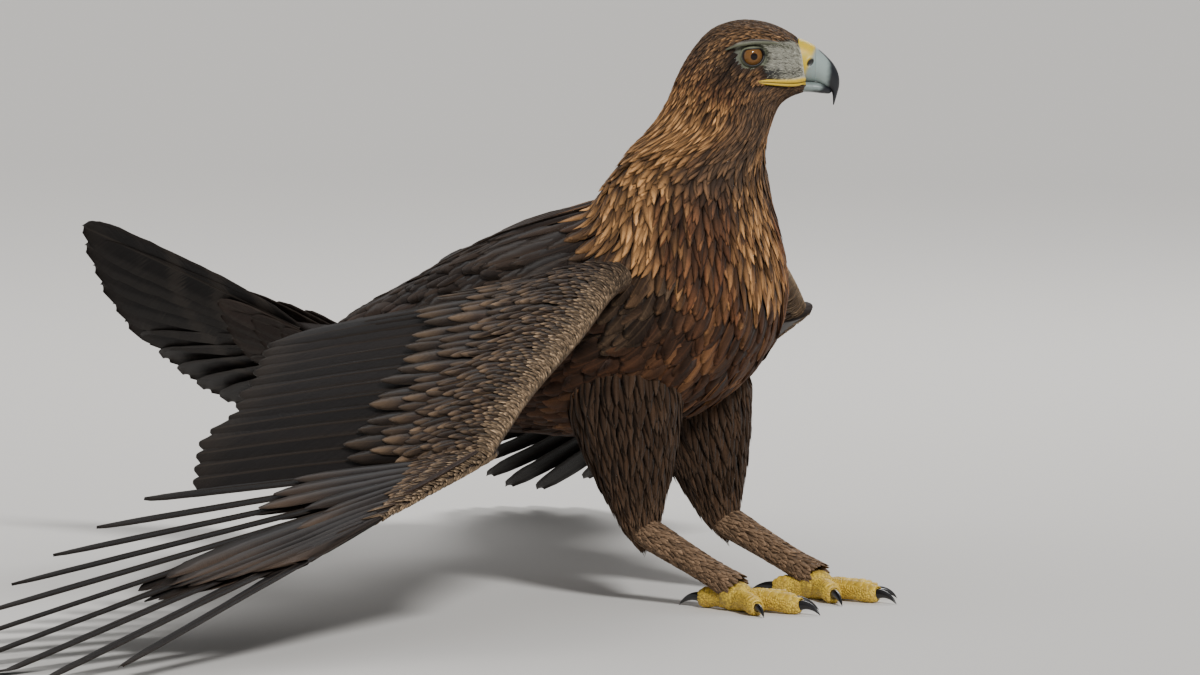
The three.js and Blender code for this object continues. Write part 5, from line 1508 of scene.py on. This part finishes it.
def paint_skin(mesh):
    """Colours the skin with the same markings as the coat over it; the mask gives the bare yellow skin."""
    points = np.zeros(len(mesh.vertices) * 3, np.float32)
    mesh.vertices.foreach_get("co", points)
    points = points.reshape(-1, 3) * 1000 - ORIGIN
    places, colours = coat_samples()
    tree = point_tree(places)
    plumage = colours[[tree.find(p)[1] for p in points]]
    parts = bpy.context.scene.eagle_parts
    lid, cere, toe = (np.array(value) for value in (parts.lid, parts.cere, parts.toe))
    ahead = facing_forward(points)
    x, y, z = ahead.T
    face = (z > 440) & (x > -48)

    def paint(tone, share):
        nonlocal plumage
        plumage = blend(plumage, tone, share)

    paint(tint("lore") * 0.9, bare_face(points) * face)
    smudge = np.exp(-((x + 3) / 9) ** 2 - ((z - 466) / 4.5) ** 2) * face * (np.abs(y) > 9)
    paint(linear("23262c"), np.clip(smudge * 1.1, 0, 0.85))
    paint(lid, ease(eye_gap(points), 13.5, 11.5) * face)
    brow = np.zeros(len(points))
    for _, sign in SIDES:
        line = brow_grid(sign).mean(1)
        near = np.min(np.linalg.norm(ahead[:, None] - line[None, ::2], axis=2), axis=1)
        rise = z - np.interp(x, line[::-1, 0], line[::-1, 2])
        brow = np.maximum(brow, ease(near, 4.6, 3.2) * ease(rise, 1.6, 0.2) * face)
    paint(lid * 1.5, brow)
    for _, sign in SIDES:
        centre, axis, front, up = eye_frame(sign)
        off = unit(ahead - centre)
        angle = np.degrees(np.arccos(np.clip(off @ axis, -1, 1)))
        around = np.arctan2(off @ up, off @ front)
        past = angle - lid_opening(around)
        near = face * (np.linalg.norm(ahead - centre, axis=1) < 14.5) * (angle < 80)
        pale = np.exp(-((past - 9) / 4) ** 2) * (0.35 + 0.65 * ease(np.abs(np.degrees(around)), 60, 130))
        paint(linear("8f9377"), near * pale * 0.9)
        paint(linear("0c0a0a"), near * ease(past, 5.5, 3.0))
    drop = z - np.interp(x, *zip(*GAPE))
    flange = face * ease(gape_gap(points), np.interp(x, [-16, 20], [3.2, 5.6]), 2.4) * (drop > -3)
    paint(cere, flange)
    # A painted shade darkens the mouth's line, in the groove between the two yellow lips.
    paint(linear("2c1f10"), flange * np.exp(-(drop / 0.5) ** 2) * 0.9)
    foot = (points[:, 2] < 30) & (points[:, 0] > -50) & (np.abs(np.abs(points[:, 1]) - FOOT[1]) < 60)
    foot = foot * ease(points[:, 2], 27, 23)
    paint(toe, foot)
    put_data(mesh, {"Plumage": plumage, "Scaly": foot})


def build_bill():
    """Both halves of the bill, and the cere over the base of the upper one."""
    # The upper bill's cutting edge overhangs the lower bill and its hook curls down past it.
    k = np.linspace(0.9, 7, 90)
    grid = section_grid(UPPER_BILL, k, 72, roundness=2.0)
    grid[..., 2] -= ease(np.cos(circle(72)), -0.55, -0.95) * np.interp(k, [0.9, 3, 5, 7], [0.6, 1.0, 0.5, 0])[:, None]
    points, *faces = grid_mesh(grid)
    x, y, z = points.T
    ridge = ease(np.abs(y), 5.5, 2) * ease(z, 462, 476) * ease(x, 33, 40)
    shade = np.clip(0.05 + ease(x - (z - 455) * 0.12, 41, 54) + 0.7 * ridge, 0, 1)
    upper = make_mesh("bill_upper_horn", twist(points), *faces, {"Shade": shade})
    finish_piece(upper, "bill_keratin", ("bill_upper",))
    # The lower bill stays just under that edge, and darkens to its tip and along its underside.
    grid = section_grid(LOWER_BILL, np.concatenate([np.linspace(0, 2.9, 44), np.linspace(2.95, 4, 16)]), 60,
                        roundness=2.2)
    roof = np.interp(grid[..., 0], [20, 36, 42, 47, 50], [457.5, 456.6, 454.2, 451.2, 449.5])
    grid[..., 2] = np.minimum(grid[..., 2], roof)
    points, *faces = grid_mesh(grid)
    x, _, z = points.T
    shade = np.clip(0.3 + 0.5 * ease(x, 37, 47) + 0.5 * ease(z, 450, 445) * ease(x, 26, 36), 0, 1)
    lower = make_mesh("bill_lower_horn", twist(points), *faces, {"Shade": shade})
    finish_piece(lower, "bill_keratin", ("bill_lower",))
    # Cere: waxy skin over the base of the bill, with a slanting nostril sunk into each side.
    k = np.linspace(-0.02, 1.04, 70)
    grow = 0.75 + 0.35 * np.sin(np.clip(k, 0, 1) * pi) - 1.4 * ease(k, 0.93, 1.04)
    grid = section_grid(UPPER_BILL, np.clip(k, 0, 7), 120, grow, 2.1)
    grid[..., 0] += (k - np.clip(k, 0, 7))[:, None] * 14
    dark, grey = np.zeros(grid.shape[:2]), ease(grid[..., 0] - 37 + (484 - grid[..., 2]) * 0.42, -4.5, 0.5)
    slope = radians(50)
    off_x, off_z = grid[..., 0] - 31, grid[..., 2] - 473
    along, above = off_x * cos(slope) + off_z * sin(slope), -off_x * sin(slope) + off_z * cos(slope)
    distance = np.sqrt((along / 4.1) ** 2 + (above / 2.5) ** 2)
    for _, sign in SIDES:
        on_side = grid[..., 1] * sign > 4
        rim = np.exp(-((distance - 1.35) / 0.3) ** 2)
        grid[..., 1] += sign * (rim * 0.45 - ease(distance, 1.05, 0.6) * 1.1) * on_side
        # Inside each nostril the cere is marked for a painted shade, near black.
        dark = np.maximum(dark, ease(distance, 1.05, 0.8) * on_side)
    data = {label: np.append(values, [0, 0]) for label, values in (("Dark", dark), ("Grey", grey))}
    cere = make_mesh("cere_skin_piece", *grid_mesh(twist(grid)), data)
    finish_piece(cere, "cere_wax", ("cere",))


def build_eyes():
    """Both eyeballs; the cornea bulges a little over the iris."""
    angles = np.concatenate([np.linspace(0.5, 60, 70), np.linspace(62, 179.5, 40)])
    around = circle(72)
    data = {"Out": np.append(np.repeat(angles, 72), [0, 180])}
    for label, values in (("Sine", np.sin(around)), ("Cosine", np.cos(around))):
        data[label] = np.append(np.tile(values, len(angles)), [0, 0])
    for side, sign in SIDES:
        axis, rings = eye_axis(sign), []
        for angle in angles:
            radius = EYE["radius"] + 0.55 * float(ease(angle, 50, 18))
            out, wide = radius * cos(radians(angle)), radius * sin(radians(angle))
            rings.append(ring(eye_centre(sign) + axis * out, axis, wide, wide, around, (0, 0, 1)))
        piece = make_mesh(f"eyeball_{side}", *grid_mesh(twist(np.stack(rings))), data)
        finish_piece(piece, "eye_wet", (f"eye_{side}",))


def build_claws():
    """Curved horns that leave each toe a little upwards and end just above the floor."""
    rise, down = radians(14), np.array([0, 0, -1.0])
    for side, sign in SIDES:
        for name, (end, way, radius, length) in toe_forms(sign)[1].items():
            thick, bend = radius * 0.86 * 0.66, length / radians(100)
            start = end + (0, 0, 0.6) - way * 2.0
            sweep = rise + acos(cos(rise) - (start[2] - 0.4) / bend)
            rings = []
            for share in np.linspace(0, 1, 36):
                turn = share * sweep - rise
                centre = start + way * (bend * (sin(turn) + sin(rise)) + share)
                centre = centre + down * bend * (cos(rise) - cos(turn))
                axis = way * cos(turn) + down * sin(turn)
                size = max(thick * (1 - share) ** 0.75, 0.25)
                reference = (0, 1, 0) if abs(way[1]) < 0.9 else (1, 0, 0)
                rings.append(ring(centre, axis, size * 0.82, size, circle(24), reference))
            grid = np.stack(rings)
            grid[..., 2] = np.maximum(grid[..., 2], 0.05)
            piece = make_mesh(f"claw_horn_{side}_{name}", *grid_mesh(grid))
            finish_piece(piece, "claw_keratin", (f"claw_{side}_{name}",))


def build_stage():
    """Floor, camera, lights and world."""
    stage, scene = bpy.context.scene.eagle_stage, bpy.context.scene
    mesh = bpy.data.meshes.new("floor")
    size = 40.0
    mesh.from_pydata([(-size, -size, 0), (size, -size, 0), (size, size, 0), (-size, size, 0)], [], [(0, 1, 2, 3)])
    floor = make_object("floor", mesh)
    mesh.materials.append(bpy.data.materials["studio_board"])
    a, e = stage.azimuth, stage.elevation
    back = np.array([sin(a) * cos(e), -cos(a) * cos(e), sin(e)])
    right = np.array([cos(a), sin(a), 0])
    # The middle of the photo lies here across and up from the bird's origin.
    across = (PHOTO["width"] / 2 - PHOTO["x"]) / PHOTO["scale"]
    rise = (PHOTO["y"] - PHOTO["height"] / 2) / PHOTO["scale"]
    target = (right * across + np.cross(back, right) * rise + back * 80 + ORIGIN) / 1000

    def place(piece, where, way):
        piece.location = where
        piece.rotation_mode = "QUATERNION"
        piece.rotation_quaternion = Vector(way).to_track_quat("-Z", "Y")

    data = bpy.data.cameras.new("camera")
    data.sensor_width = 36
    data.lens = data.sensor_width * stage.distance / stage.frame_width
    data.clip_end = 200
    scene.camera = make_object("camera", data)
    place(scene.camera, target + back * stage.distance, -back)
    for name, kind, where, power, key, width in (
        ("key", "SUN", (2.4, -1.6, 2.3), 3.1, "angle", radians(10)),
        ("fill", "AREA", (-2.4, -2.8, 1.6), 20, "size", 2.4), ("rim", "AREA", (-0.8, 2.8, 2.4), 45, "size", 1.6),
    ):
        lamp = bpy.data.lights.new(name, kind)
        lamp.energy = power
        setattr(lamp, key, width)
        place(make_object(name, lamp), where, Vector((0.2, 0, 0.3)) - Vector(where))
    world = bpy.data.worlds.new("studio")
    world.use_nodes = True
    colour_input, strength = world.node_tree.nodes["Background"].inputs[:2]
    colour_input.default_value, strength.default_value = (0.9, 0.9, 0.91, 1), 0.5
    scene.world = world


class EAGLE_OT_materials(bpy.types.Operator):
    """Make every material of the model"""

    bl_idname = "eagle.materials"
    bl_label = "Materials"

    def execute(self, context):
        make_materials()
        return {"FINISHED"}


class EAGLE_OT_skin(bpy.types.Operator):
    """Make the one skin under the coat, with lids, brows and toes"""

    bl_idname = "eagle.skin"
    bl_label = "Skin"

    def execute(self, context):
        build_skin()
        return {"FINISHED"}


class EAGLE_OT_bill(bpy.types.Operator):
    """Make both halves of the bill and the cere"""

    bl_idname = "eagle.bill"
    bl_label = "Bill and cere"

    def execute(self, context):
        build_bill()
        return {"FINISHED"}


class EAGLE_OT_eyes(bpy.types.Operator):
    """Make both eyes"""

    bl_idname = "eagle.eyes"
    bl_label = "Eyes"

    def execute(self, context):
        build_eyes()
        return {"FINISHED"}


class EAGLE_OT_claws(bpy.types.Operator):
    """Make the eight claws"""

    bl_idname = "eagle.claws"
    bl_label = "Claws"

    def execute(self, context):
        build_claws()
        return {"FINISHED"}


class EAGLE_OT_body_coat(bpy.types.Operator):
    """Lay the feathers of the head, neck and torso"""

    bl_idname = "eagle.body_coat"
    bl_label = "Body coat"

    def execute(self, context):
        build_body_coat()
        return {"FINISHED"}


class EAGLE_OT_lores(bpy.types.Operator):
    """Lay the sparse bristles before the eyes"""

    bl_idname = "eagle.lores"
    bl_label = "Lores"

    def execute(self, context):
        build_lores()
        return {"FINISHED"}


class EAGLE_OT_foot_scales(bpy.types.Operator):
    """Set scutes and small scales on the toes"""

    bl_idname = "eagle.foot_scales"
    bl_label = "Foot scales"

    def execute(self, context):
        build_foot_scales()
        return {"FINISHED"}


class EAGLE_OT_wings(bpy.types.Operator):
    """Make the coverts and flight feathers of both wings"""

    bl_idname = "eagle.wings"
    bl_label = "Wings"

    def execute(self, context):
        build_wings()
        return {"FINISHED"}


class EAGLE_OT_tail(bpy.types.Operator):
    """Make the tail feathers and their coverts"""

    bl_idname = "eagle.tail"
    bl_label = "Tail"

    def execute(self, context):
        build_tail()
        return {"FINISHED"}


class EAGLE_OT_leg_coats(bpy.types.Operator):
    """Lay the feathers of the thighs and shanks"""

    bl_idname = "eagle.leg_coats"
    bl_label = "Leg coats"

    def execute(self, context):
        build_leg_coats()
        return {"FINISHED"}


class EAGLE_OT_stage(bpy.types.Operator):
    """Make the floor, the lights and the camera"""

    bl_idname = "eagle.stage"
    bl_label = "Stage"

    def execute(self, context):
        build_stage()
        return {"FINISHED"}


STEPS = (
    EAGLE_OT_materials, EAGLE_OT_skin, EAGLE_OT_bill, EAGLE_OT_eyes, EAGLE_OT_claws, EAGLE_OT_body_coat,
    EAGLE_OT_lores, EAGLE_OT_foot_scales, EAGLE_OT_wings, EAGLE_OT_tail, EAGLE_OT_leg_coats, EAGLE_OT_stage,
)


class EAGLE_PT_model(bpy.types.Panel):
    """Lists the steps that build the model."""

    bl_idname = "EAGLE_PT_model"
    bl_label = "Golden eagle"
    bl_space_type = "VIEW_3D"
    bl_region_type = "UI"
    bl_category = "Eagle"

    def draw(self, context):
        column = self.layout.column(align=True)
        for step in STEPS:
            column.operator(step.bl_idname)
        for group in GROUPS:
            settings = getattr(context.scene, group)
            for key in settings.__annotations__:
                column.prop(settings, key)


GROUPS = {
    "eagle_plumage": EaglePlumage, "eagle_parts": EagleParts, "eagle_coat": EagleCoat, "eagle_stage": EagleStage,
}
CLASSES = (*GROUPS.values(), *STEPS, EAGLE_PT_model)


def register():
    for item in CLASSES:
        bpy.utils.register_class(item)
    for name, group in GROUPS.items():
        setattr(bpy.types.Scene, name, bpy.props.PointerProperty(type=group))


def unregister():
    for name in GROUPS:
        delattr(bpy.types.Scene, name)
    for item in reversed(CLASSES):
        bpy.utils.unregister_class(item)


def main():
    register()
    for step in STEPS:
        call = getattr(bpy.ops.eagle, step.bl_idname.split(".")[1])
        if call() != {"FINISHED"}:
            raise RuntimeError(f"{step.bl_label} didn't finish")


if __name__ == "__main__":
    main()
